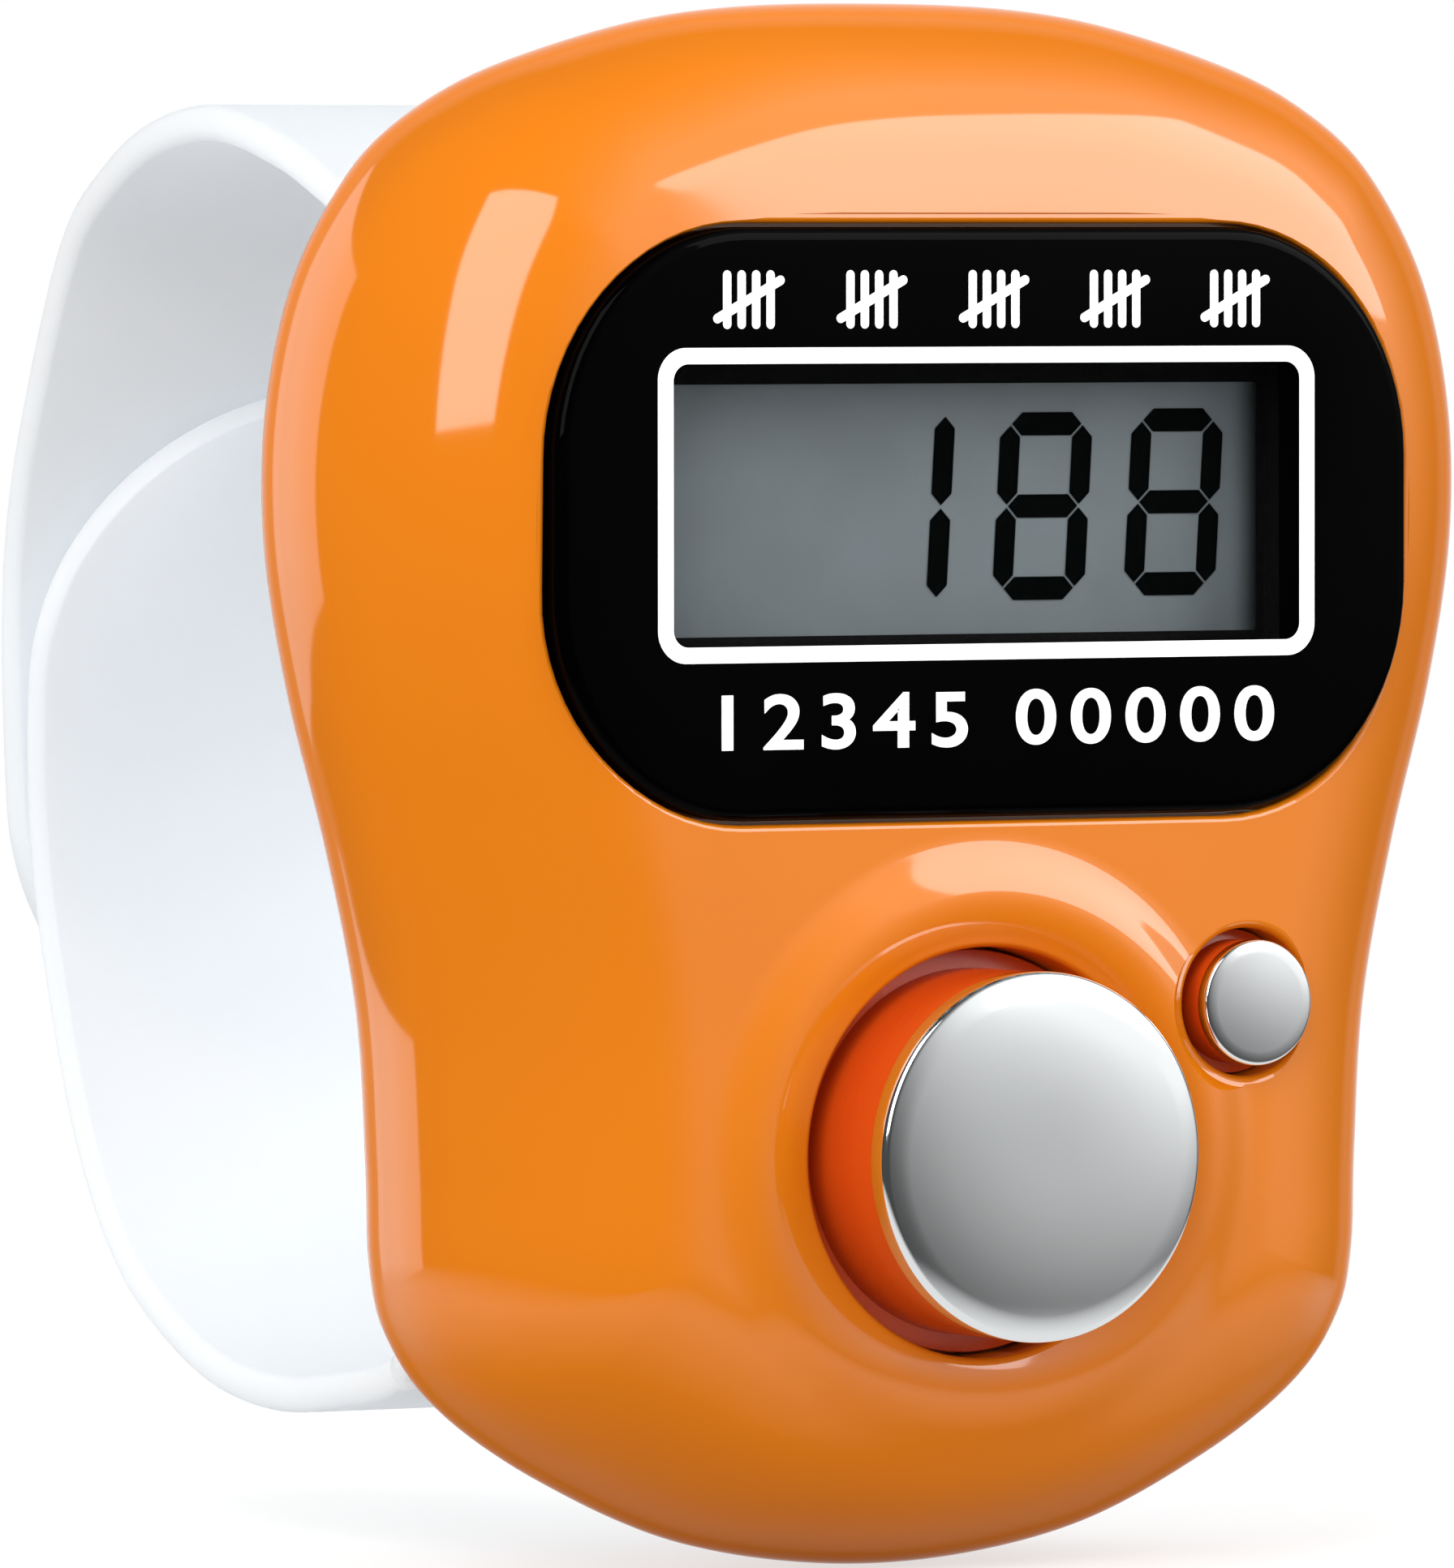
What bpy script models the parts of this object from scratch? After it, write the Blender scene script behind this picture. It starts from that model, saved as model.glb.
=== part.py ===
"""Finger tally counter.

A pebble shaped orange case holds a small liquid crystal display, a circuit board with two
rubber keys and a button cell. A springy band of two curled tongues behind it goes round a
finger. The origin is the middle of the finger hole, +Z is up along the case, and the display
looks along -Y. Inside body_frame, Y is the depth behind the flat face of the case.
"""

import math

import bmesh
import bpy
from mathutils import Vector


# Gaps and counts
FIT_GAP = 0.0003            # between two pieces that touch on the real object
CUT_OVERRUN = 0.0012        # how far a cutter runs past the face that it opens
OUTLINE_POINTS = 64         # points round the case
ROUND_STEPS = 32            # sides of a large round piece
SMALL_ROUND_STEPS = 16      # sides of a screw
CORNER_STEPS = 6            # steps in a rounded corner
OUTLINE_STEPS = 6           # steps between two given points of the case outline
MERGE_DISTANCE = 0.000003   # points closer than this are one point
SMOOTH_ANGLE = math.radians(35)

# Case
CASE_WIDTH = 0.0348
TOP_RIM = 0.0062            # case above the display lens
BRIDGE = 0.00345            # case between the lens and the hole of the count button
CHIN = 0.00585              # case below that hole
EDGE_REACH = 0.0057         # how far in from the outline the rounded edge runs
FRONT_WALL = 0.0020
BACK_WALL = 0.0014
COVER_RIM = 0.0016          # how far the cover reaches forward of its inner face
SIDE_WALL = 0.0022          # case outline to cavity, at the seam
SHOULDER_WALL = 0.0032      # the same, behind the rounded front edge
SHOULDER_DEPTH = 0.0040     # where the cavity has reached its full width
EDGE_ANGLES = [90, 74, 58, 42, 27, 13, 0]   # degrees along the quarter round edge

# Right half of the outline from top to bottom, as shares of half the width and height
OUTLINE_SHARES = [
    (0.000, 0.990), (0.320, 0.977), (0.590, 0.922), (0.745, 0.863), (0.850, 0.786),
    (0.945, 0.650), (0.994, 0.480), (0.997, 0.300), (0.957, 0.110), (0.890, -0.090),
    (0.838, -0.290), (0.822, -0.480), (0.816, -0.610), (0.788, -0.705), (0.705, -0.798),
    (0.540, -0.888), (0.300, -0.970), (0.000, -1.000),
]

# Display lens, its seat and the window behind it
LENS_WIDTH = 0.0263
LENS_HEIGHT = 0.0156
LENS_THICKNESS = 0.0010
LENS_PROUD = 0.0002
LENS_CORNER_WIDTH = 0.0057
LENS_CORNER_HEIGHT = 0.0061
LENS_EDGE_ROUND = 0.0002
WINDOW_WIDTH = 0.0202
WINDOW_HEIGHT = 0.0083
WINDOW_CORNER = 0.0007
GASKET_WALL = 0.00035       # black foam ring that lines the window
WINDOW_UP = 0.0004          # window centre above the lens centre
WINDOW_SIDE = 0.0003        # window centre to the right of the lens centre

# Liquid crystal display
GLASS_THICKNESS = 0.0007
GLASS_LAP = 0.0001          # how far the glasses reach past the gasket at each side
GLASS_MARGIN = 0.00025      # rear glass past the window, above and below
GLASS_LEDGE = 0.0020        # front glass below the rear one, for the connector
REFLECTOR_THICKNESS = 0.0003
REFLECTOR_MARGIN = 0.0004
HOLDER_WALL = 0.0006
ZEBRA_INSET = 0.0007        # connector short of the glass at each end
ZEBRA_THICKNESS = 0.0014

# Circuit board and what is soldered to it
BOARD_DEPTH = 0.0060        # front face of the board
BOARD_THICKNESS = 0.0008
BOARD_EDGE = 0.0030         # case outline to board edge
CHIP_RADIUS = 0.0028
CHIP_HEIGHT = 0.0011
CHIP_UP_SHARE = 0.533       # places on the board, of half the case height and width
RESISTOR_LENGTH = 0.0020
RESISTOR_WIDTH = 0.0012
RESISTOR_HEIGHT = 0.0006
RESISTOR_SHARES = (-0.506, 0.381)
CAPACITOR_LENGTH = 0.0024
CAPACITOR_WIDTH = 0.0014
CAPACITOR_HEIGHT = 0.0010
CAPACITOR_SHARES = (0.517, 0.371)

# Count button, with the raised ring of the case round it
COUNT_RADIUS = 0.0049
COUNT_PROUD = 0.0031        # face of the button in front of the case
COUNT_CROWN = 0.0001
COUNT_CROWN_SHARES = [0.0, 0.45, 0.75]   # where the crown is drawn, of the button's radius
COUNT_EDGE = 0.0003
COUNT_HOLE_GAP = 0.00055
COUNT_FLANGE_LIP = 0.0005   # how far the flange reaches past the hole
COUNT_FLANGE_THICKNESS = 0.0008
COUNT_SKIRT_WALL = 0.0009
COUNT_TOP_WALL = 0.0012
COUNT_POST_RADIUS = 0.0016
MOUND_RADIUS = 0.0084
MOUND_CREST_RADIUS = 0.0068
MOUND_HEIGHT = 0.0005
MOUND_DIP = 0.0004          # drop from the crest to the rim of the hole
FACE_RING_SHARES = [1.0, 0.86, 0.72, 0.56, 0.42, 0.34, 0.27, 0.20]

# Reset button and its dish
RESET_SIDE = 0.0082
RESET_ABOVE_COUNT = 0.0038
RESET_RADIUS = 0.00168
RESET_PROUD = 0.0006
RESET_EDGE = 0.00015
RESET_HOLE_GAP = 0.0003
RESET_DISH_RADIUS = 0.00225
RESET_DISH_DEPTH = 0.0007
RESET_FLANGE_LIP = 0.0004
RESET_FLANGE_THICKNESS = 0.0007

# Rubber domes under the buttons
DOME_WALL = 0.0005
DOME_FOOT = 0.0003
COUNT_DOME_RADIUS = 0.0042
COUNT_DOME_TOP_RADIUS = 0.0021
COUNT_FOOT_RADIUS = 0.0052
RESET_DOME_RADIUS = 0.0019
RESET_DOME_TOP_RADIUS = 0.0012
RESET_FOOT_RADIUS = 0.0024
PILL_THICKNESS = 0.0003
COUNT_PILL_RADIUS = 0.0013
RESET_PILL_RADIUS = 0.0006

# Button cell, its contacts and its door
CELL_RADIUS = 0.0058
CELL_HEIGHT = 0.0031
CELL_STEP = 0.0004
CELL_CAP_RADIUS = 0.0049
CELL_CORNER = 0.0002
CONTACT_THICKNESS = 0.0003
SPRING_LENGTH = 0.0090
SPRING_WIDTH = 0.0022
SPRING_RISE = 0.0003
SPRING_BEND_SHARES = [(-0.5, 0.0), (-0.15, 0.0), (0.2, 1.0), (0.5, 0.5)]   # length and rise
CLIP_WIDTH = 0.0036
CLIP_FOOT = 0.0016
CLIP_HEIGHT = 0.0022
DOOR_RADIUS = 0.0065
DOOR_THICKNESS = 0.0012
DOOR_SKIRT_WALL = 0.0004
DOOR_SKIRT_DEPTH = 0.0018
DOOR_SLOT_LENGTH = 0.0090
DOOR_SLOT_WIDTH = 0.0011
DOOR_SLOT_DEPTH = 0.0005
DOOR_LUG_REACH = 0.0010
DOOR_LUG_WIDTH = 0.0030
DOOR_LUG_THICKNESS = 0.0008
DOOR_TURN = math.radians(45)
POT_WALL = 0.0010
POT_HEIGHT = 0.0020

# Screws
UPPER_SCREW_UP_SHARE = 0.590       # of half the case height
LOWER_SCREW_SHARES = (0.632, -0.581)   # of half the case width and height
CASE_HEAD_RADIUS = 0.00125
CASE_HEAD_HEIGHT = 0.0008
CASE_SCREW_RADIUS = 0.0006
CASE_SCREW_LENGTH = 0.0052
CASE_BOSS_RADIUS = 0.0016
CASE_BOSS_THICKNESS = 0.0006   # cover material under a screw head
BOARD_SCREW_SHARES = (0.391, 0.729)    # the upper two, of the same
POST_SPACING = 0.0010          # between the lower post and the foot of the count dome
BOARD_HEAD_RADIUS = 0.0011
BOARD_HEAD_HEIGHT = 0.0006
BOARD_SCREW_RADIUS = 0.0005
BOARD_SCREW_LENGTH = 0.0034
BOARD_POST_RADIUS = 0.0012
PILOT_GAP = 0.0003
SCREW_POINT_SHARE = 0.67       # tip of a screw, of its radius
SCREW_CROWN_SHARES = (0.75, 0.67)   # flat top of a head, of its radius, and side, of its height
CROSS_LENGTH_SHARE = 0.62      # cross slot in a screw head, of the head's radius
CROSS_WIDTH_SHARE = 0.20
CROSS_DEPTH_SHARE = 0.5        # of the head's height

# Finger band
BAND_WIDTH = 0.0188
BAND_THICKNESS = 0.0010
BAND_EDGE = 0.0002
BAND_TIP_EDGE_SHARE = 0.33     # the same at a tongue's tip, at most this of its half width
BAND_REACH = 0.0254            # back of the case to the rearmost face of the band
BAND_TOP = 0.0186              # top of the band above the middle of the case
BAND_BOTTOM = 0.0173           # bottom of the band below it
TONGUE_GAP = 0.0005            # between the two tongues where they pass each other
UPPER_TONGUE_LENGTH = 0.0086   # rounded end of the outer tongue
LOWER_TONGUE_LENGTH = 0.0084
TONGUE_STEPS = 8
TONGUE_END = math.radians(87)  # where the rounded end is cut off
ARM_STEPS = 26
LINE_STEPS = 4
HINGE_GAP = 0.0003
SADDLE_HOLE_MARGIN = 0.0006    # round the sweep of the door's lugs
PEG_RADIUS = 0.0011
PEG_HEAD_RADIUS = 0.0018
PEG_HEAD_THICKNESS = 0.0009
PEG_UP = 0.0113
PEG_HOLE_GAP = 0.0003

# Middle line of the band, as shares of each arm's reach and of its height above or below
# the middle of the case. Each arm starts at its living hinge.
UPPER_ARM_SHARES = [
    (0.104, 0.768), (0.197, 0.850), (0.280, 0.906), (0.378, 0.958), (0.522, 1.000),
    (0.663, 0.976), (0.771, 0.908), (0.859, 0.805), (0.944, 0.560), (0.988, 0.370),
    (1.000, 0.180), (0.990, -0.066), (0.966, -0.310), (0.924, -0.552),
]
LOWER_ARM_SHARES = [
    (0.111, 0.938), (0.274, 0.988), (0.427, 1.000), (0.577, 0.964), (0.726, 0.866),
    (0.818, 0.753), (0.893, 0.583), (0.951, 0.369), (0.988, 0.179), (1.000, -0.030),
    (0.983, -0.268), (0.947, -0.470), (0.905, -0.640),
]
SADDLE_FLAT_SHARES = [0.0, 0.35, 0.65, 0.82]   # flat part of the saddle, of a hinge's height

# Values that follow from those above
COUNT_HOLE = COUNT_RADIUS + COUNT_HOLE_GAP
COUNT_FLANGE = COUNT_HOLE + COUNT_FLANGE_LIP
RESET_HOLE = RESET_RADIUS + RESET_HOLE_GAP
RESET_FLANGE = RESET_HOLE + RESET_FLANGE_LIP
FLANGE_DEPTH = FRONT_WALL + FIT_GAP
BOARD_BACK = BOARD_DEPTH + BOARD_THICKNESS
CELL_FRONT = BOARD_BACK + FIT_GAP + CONTACT_THICKNESS + SPRING_RISE + FIT_GAP
DOOR_INNER = CELL_FRONT + CELL_HEIGHT + FIT_GAP
CASE_DEPTH = DOOR_INNER + DOOR_THICKNESS
CASE_HEIGHT = TOP_RIM + LENS_HEIGHT + BRIDGE + 2 * COUNT_HOLE + CHIN
HALF_WIDTH = CASE_WIDTH / 2
HALF_HEIGHT = CASE_HEIGHT / 2
HALF_DEPTH = CASE_DEPTH / 2
COVER_INNER = CASE_DEPTH - BACK_WALL
SEAM_DEPTH = COVER_INNER - COVER_RIM
LENS_BACK = LENS_THICKNESS - LENS_PROUD
LENS_UP = HALF_HEIGHT - TOP_RIM - LENS_HEIGHT / 2
WINDOW_Z = LENS_UP + WINDOW_UP
GLASS_WIDTH = WINDOW_WIDTH - 2 * FIT_GAP + 2 * GLASS_LAP
REAR_GLASS_HEIGHT = WINDOW_HEIGHT + 2 * GLASS_MARGIN
FRONT_GLASS_HEIGHT = REAR_GLASS_HEIGHT + GLASS_LEDGE
FRONT_GLASS_DEPTH = FRONT_WALL + FIT_GAP
REAR_GLASS_DEPTH = FRONT_GLASS_DEPTH + GLASS_THICKNESS + FIT_GAP
REFLECTOR_DEPTH = REAR_GLASS_DEPTH + GLASS_THICKNESS + FIT_GAP
FRONT_GLASS_Z = WINDOW_Z - GLASS_LEDGE / 4
REAR_GLASS_Z = FRONT_GLASS_Z + GLASS_LEDGE / 2
ZEBRA_Z = FRONT_GLASS_Z - FRONT_GLASS_HEIGHT / 2 + ZEBRA_THICKNESS / 2
HOLDER_HALF_WIDTH = GLASS_WIDTH / 2 + FIT_GAP + HOLDER_WALL
COUNT_UP = CHIN + COUNT_HOLE - HALF_HEIGHT
RESET_UP = COUNT_UP + RESET_ABOVE_COUNT
DOOR_HOLE = DOOR_RADIUS + FIT_GAP
LUG_RADIUS = DOOR_RADIUS + DOOR_LUG_REACH
POT_RADIUS = LUG_RADIUS + FIT_GAP + POT_WALL
CASE_HEAD_SEAT = SEAM_DEPTH + FIT_GAP + CASE_BOSS_THICKNESS
UPPER_SCREW_SIDE = WINDOW_SIDE + HOLDER_HALF_WIDTH + FIT_GAP + CASE_BOSS_RADIUS
UPPER_SCREW_UP = UPPER_SCREW_UP_SHARE * HALF_HEIGHT
LOWER_SCREW_SIDE = LOWER_SCREW_SHARES[0] * HALF_WIDTH
LOWER_SCREW_UP = LOWER_SCREW_SHARES[1] * HALF_HEIGHT
CASE_SCREW_PLACES = [(UPPER_SCREW_SIDE, UPPER_SCREW_UP), (-UPPER_SCREW_SIDE, UPPER_SCREW_UP),
                     (LOWER_SCREW_SIDE, LOWER_SCREW_UP), (-LOWER_SCREW_SIDE, LOWER_SCREW_UP)]
BOARD_SCREW_SIDE = BOARD_SCREW_SHARES[0] * HALF_WIDTH
BOARD_SCREW_UP = BOARD_SCREW_SHARES[1] * HALF_HEIGHT
LOWER_POST_UP = COUNT_UP - COUNT_FOOT_RADIUS - POST_SPACING - BOARD_POST_RADIUS
BOARD_SCREW_PLACES = [(BOARD_SCREW_SIDE, BOARD_SCREW_UP), (-BOARD_SCREW_SIDE, BOARD_SCREW_UP),
                      (0, LOWER_POST_UP)]
UPPER_REACH = BAND_REACH - BAND_THICKNESS / 2
LOWER_REACH = UPPER_REACH - BAND_THICKNESS - TONGUE_GAP
UPPER_HEIGHT = BAND_TOP - BAND_THICKNESS / 2
LOWER_HEIGHT = BAND_BOTTOM - BAND_THICKNESS / 2
SADDLE_MIDDLE = CASE_DEPTH + FIT_GAP + BAND_THICKNESS / 2
SADDLE_HOLE = LUG_RADIUS + SADDLE_HOLE_MARGIN
HOLE_FRONT = SADDLE_MIDDLE + BAND_THICKNESS / 2
HOLE_REAR = CASE_DEPTH + LOWER_REACH - BAND_THICKNESS / 2
RING_CENTRE_DEPTH = (HOLE_FRONT + HOLE_REAR) / 2
RING_CENTRE_UP = (UPPER_HEIGHT - LOWER_HEIGHT) / 2


# Curves

def smooth_points(points, closed, steps):
    """Return points on one smooth curve through the given ones, steps to each span."""
    count = len(points)
    spans = count if closed else count - 1
    result = []
    for span in range(spans):
        if closed:
            before, start, end, after = (points[(span + k - 1) % count] for k in range(4))
        else:
            before = points[max(span - 1, 0)]
            start, end = points[span], points[span + 1]
            after = points[min(span + 2, count - 1)]
        for step in range(steps):
            t = step / steps
            result.append(0.5 * (2 * start + (end - before) * t
                                 + (2 * before - 5 * start + 4 * end - after) * t ** 2
                                 + (3 * start - before - 3 * end + after) * t ** 3))
    if not closed:
        result.append(points[-1])
    return result


def even_points(points, closed, count):
    """Return count points at equal steps along a chain of points."""
    chain = points + [points[0]] if closed else points
    lengths = [0.0]
    for first, second in zip(chain, chain[1:]):
        lengths.append(lengths[-1] + (second - first).length)
    divisions = count if closed else count - 1
    result = []
    span = 0
    for index in range(count):
        goal = lengths[-1] * index / divisions
        while span < len(lengths) - 2 and lengths[span + 1] < goal:
            span += 1
        share = (goal - lengths[span]) / (lengths[span + 1] - lengths[span])
        result.append(chain[span].lerp(chain[span + 1], share))
    return result


def case_outline():
    """Return the points of the case outline, seen from the front, and their inward normals."""
    right = [Vector((x * HALF_WIDTH, z * HALF_HEIGHT)) for x, z in OUTLINE_SHARES]
    left = [Vector((-point.x, point.y)) for point in reversed(right[1:-1])]
    points = even_points(smooth_points(right + left, True, OUTLINE_STEPS), True, OUTLINE_POINTS)
    normals = []
    for index, point in enumerate(points):
        along = points[(index + 1) % OUTLINE_POINTS] - points[index - 1]
        normals.append(Vector((along.y, -along.x)).normalized())
    return points, normals


OUTLINE, OUTLINE_NORMALS = case_outline()


def outline_ring(inset, depth):
    """Return the case outline moved in by inset, as a ring at one depth."""
    return [Vector((point.x + normal.x * inset, depth, point.y + normal.y * inset))
            for point, normal in zip(OUTLINE, OUTLINE_NORMALS)]


def corner_ring(width, height, corner_width, corner_height, depth, side=0.0, up=0.0):
    """Return a rectangle with rounded corners as a ring at one depth."""
    ring = []
    for quarter in range(4):
        for step in range(CORNER_STEPS + 1):
            angle = math.pi / 2 * (quarter + step / CORNER_STEPS)
            sign_x = 1 if quarter in (0, 3) else -1
            sign_z = 1 if quarter in (0, 1) else -1
            x = sign_x * (width / 2 - corner_width) + corner_width * math.cos(angle)
            z = sign_z * (height / 2 - corner_height) + corner_height * math.sin(angle)
            ring.append(Vector((side + x, depth, up + z)))
    return ring


def mound(x, z):
    """Return how far the raised ring round the count button stands in front of the case."""
    radius = math.hypot(x, z - COUNT_UP)
    if radius >= MOUND_RADIUS:
        return 0.0
    if radius >= MOUND_CREST_RADIUS:
        share = (radius - MOUND_CREST_RADIUS) / (MOUND_RADIUS - MOUND_CREST_RADIUS)
        return MOUND_HEIGHT * (1 + math.cos(math.pi * share)) / 2
    share = (MOUND_CREST_RADIUS - radius) / (MOUND_CREST_RADIUS - COUNT_HOLE)
    return MOUND_HEIGHT - MOUND_DIP * min(share, 1.0) ** 2


# Making objects

def make_material(name, colour, roughness, metallic=0.0, alpha=1.0):
    """Return a plain material with one colour."""
    material = bpy.data.materials.new(name)
    material.use_nodes = True
    shader = material.node_tree.nodes["Principled BSDF"]
    shader.inputs["Base Color"].default_value = (*colour, 1.0)
    shader.inputs["Roughness"].default_value = roughness
    shader.inputs["Metallic"].default_value = metallic
    shader.inputs["Alpha"].default_value = alpha
    material.diffuse_color = (*colour, alpha)
    return material


def make_empty(name, place, parent=None):
    """Add an empty that carries other objects."""
    empty = bpy.data.objects.new(name, None)
    bpy.context.collection.objects.link(empty)
    empty.location = place
    empty.parent = parent
    return empty


def make_object(name, mesh_edit, material, parent, place=(0, 0, 0)):
    """Turn an edited mesh into a shaded object."""
    bmesh.ops.recalc_face_normals(mesh_edit, faces=mesh_edit.faces)
    mesh = bpy.data.meshes.new(name)
    mesh_edit.to_mesh(mesh)
    mesh_edit.free()
    if material:
        mesh.materials.append(material)
    mesh.shade_smooth()
    mesh.set_sharp_from_angle(angle=SMOOTH_ANGLE)
    obj = bpy.data.objects.new(name, mesh)
    bpy.context.collection.objects.link(obj)
    obj.parent = parent
    obj.location = place
    return obj


def loft(rings):
    """Return a mesh that runs through rings of equal length, closed at both ends."""
    mesh_edit = bmesh.new()
    rows = [[mesh_edit.verts.new(point) for point in ring] for ring in rings]
    count = len(rows[0])
    for row, following in zip(rows, rows[1:]):
        for index in range(count):
            after = (index + 1) % count
            mesh_edit.faces.new((row[index], row[after], following[after], following[index]))
    mesh_edit.faces.new(rows[0])
    mesh_edit.faces.new(reversed(rows[-1]))
    return mesh_edit


def turned(profile, steps):
    """Return a mesh turned about the Y axis from (radius, depth) points, first to last."""
    mesh_edit = bmesh.new()
    verts = [mesh_edit.verts.new((radius, depth, 0)) for radius, depth in profile]
    edges = [mesh_edit.edges.new(pair) for pair in zip(verts, verts[1:])]
    if profile[0][0] > 0:
        edges.append(mesh_edit.edges.new((verts[-1], verts[0])))
    bmesh.ops.spin(mesh_edit, geom=verts + edges, cent=(0, 0, 0), axis=(0, 1, 0),
                   angle=2 * math.pi, steps=steps, use_merge=True)
    bmesh.ops.remove_doubles(mesh_edit, verts=mesh_edit.verts, dist=MERGE_DISTANCE)
    return mesh_edit


def block(width, depth, height, centre=(0, 0, 0)):
    """Return a box mesh round a centre."""
    mesh_edit = bmesh.new()
    bmesh.ops.create_cube(mesh_edit, size=1)
    bmesh.ops.scale(mesh_edit, vec=(width, depth, height), verts=mesh_edit.verts)
    bmesh.ops.translate(mesh_edit, vec=centre, verts=mesh_edit.verts)
    return mesh_edit


def rod(radius, front, back, steps=SMALL_ROUND_STEPS):
    """Return a plain round bar along Y between two depths."""
    return turned([(0, front), (radius, front), (radius, back), (0, back)], steps)


def combine(target, name, mesh_edit, operation, place=(0, 0, 0), turn=0.0):
    """Join a shape to an object, or cut it out of it, with a Boolean modifier."""
    other = make_object(target.name + "_" + name, mesh_edit, None, target.parent, place)
    other.rotation_euler = (0, turn, 0)
    other.hide_render = True
    other.display_type = 'WIRE'
    modifier = target.modifiers.new(name, 'BOOLEAN')
    modifier.operation = operation
    modifier.solver = 'EXACT'
    modifier.object = other
    return other


# Case

def make_front_shell(material, parent):
    """The front shell: a rounded cup with the lens seat, the window and two button holes."""
    rings = []
    face_ring = outline_ring(EDGE_REACH, 0)
    for share in reversed(FACE_RING_SHARES):
        rings.append([Vector((point.x * share, 0, COUNT_UP + (point.z - COUNT_UP) * share))
                      for point in face_ring])
    seam_angle = -math.degrees(math.asin((SEAM_DEPTH - HALF_DEPTH) / HALF_DEPTH))
    for degrees in EDGE_ANGLES[1:] + [seam_angle / 2, seam_angle]:
        angle = math.radians(degrees)
        rings.append(outline_ring(EDGE_REACH * (1 - math.cos(angle)),
                                  HALF_DEPTH * (1 - math.sin(angle))))
    for ring in rings[:-3]:
        for point in ring:
            point.y -= mound(point.x, point.z)
    shell = make_object("front_shell", loft(rings), material, parent)

    cavity = [outline_ring(SHOULDER_WALL, FRONT_WALL), outline_ring(SIDE_WALL, SHOULDER_DEPTH),
              outline_ring(SIDE_WALL, SEAM_DEPTH + CUT_OVERRUN)]
    combine(shell, "cavity", loft(cavity), 'DIFFERENCE')
    well = rod(RESET_FOOT_RADIUS + FIT_GAP, FRONT_WALL + FIT_GAP / 2, BOARD_DEPTH, ROUND_STEPS)
    combine(shell, "reset_well", well, 'DIFFERENCE', (RESET_SIDE, 0, RESET_UP))
    for index, (side, up) in enumerate(CASE_SCREW_PLACES):
        boss = rod(CASE_BOSS_RADIUS, FRONT_WALL - FIT_GAP, SEAM_DEPTH)
        combine(shell, f"case_boss_{index + 1}", boss, 'UNION', (side, 0, up))
    for index, (side, up) in enumerate(BOARD_SCREW_PLACES):
        post = rod(BOARD_POST_RADIUS, FRONT_WALL - FIT_GAP, BOARD_DEPTH - FIT_GAP)
        combine(shell, f"board_post_{index + 1}", post, 'UNION', (side, 0, up))

    seat_width = LENS_WIDTH + 2 * FIT_GAP
    seat_height = LENS_HEIGHT + 2 * FIT_GAP
    seat = [corner_ring(seat_width, seat_height, LENS_CORNER_WIDTH + FIT_GAP,
                        LENS_CORNER_HEIGHT + FIT_GAP, depth, 0, LENS_UP)
            for depth in (-CUT_OVERRUN, LENS_BACK + FIT_GAP)]
    combine(shell, "lens_seat", loft(seat), 'DIFFERENCE')
    window = [corner_ring(WINDOW_WIDTH, WINDOW_HEIGHT, WINDOW_CORNER, WINDOW_CORNER, depth,
                          WINDOW_SIDE, WINDOW_Z)
              for depth in (0, FRONT_WALL + CUT_OVERRUN)]
    combine(shell, "window", loft(window), 'DIFFERENCE')
    count_hole = rod(COUNT_HOLE, -CUT_OVERRUN, FRONT_WALL + CUT_OVERRUN, ROUND_STEPS)
    combine(shell, "count_hole", count_hole, 'DIFFERENCE', (0, 0, COUNT_UP))
    slope = (RESET_DISH_RADIUS - RESET_HOLE) / RESET_DISH_DEPTH
    dish = turned([(0, -CUT_OVERRUN), (RESET_DISH_RADIUS + slope * CUT_OVERRUN, -CUT_OVERRUN),
                   (RESET_HOLE, RESET_DISH_DEPTH), (RESET_HOLE, FRONT_WALL + CUT_OVERRUN),
                   (0, FRONT_WALL + CUT_OVERRUN)], ROUND_STEPS)
    combine(shell, "reset_hole", dish, 'DIFFERENCE', (RESET_SIDE, 0, RESET_UP))
    case_pilot_front = CASE_HEAD_SEAT - CASE_SCREW_LENGTH - PILOT_GAP
    for index, (side, up) in enumerate(CASE_SCREW_PLACES):
        pilot = rod(CASE_SCREW_RADIUS + PILOT_GAP, case_pilot_front, SEAM_DEPTH + CUT_OVERRUN)
        combine(shell, f"case_pilot_{index + 1}", pilot, 'DIFFERENCE', (side, 0, up))
    board_pilot_front = BOARD_BACK + FIT_GAP - BOARD_SCREW_LENGTH - PILOT_GAP
    for index, (side, up) in enumerate(BOARD_SCREW_PLACES):
        pilot = rod(BOARD_SCREW_RADIUS + PILOT_GAP, board_pilot_front, BOARD_DEPTH + CUT_OVERRUN)
        combine(shell, f"board_pilot_{index + 1}", pilot, 'DIFFERENCE', (side, 0, up))
    return shell


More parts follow.
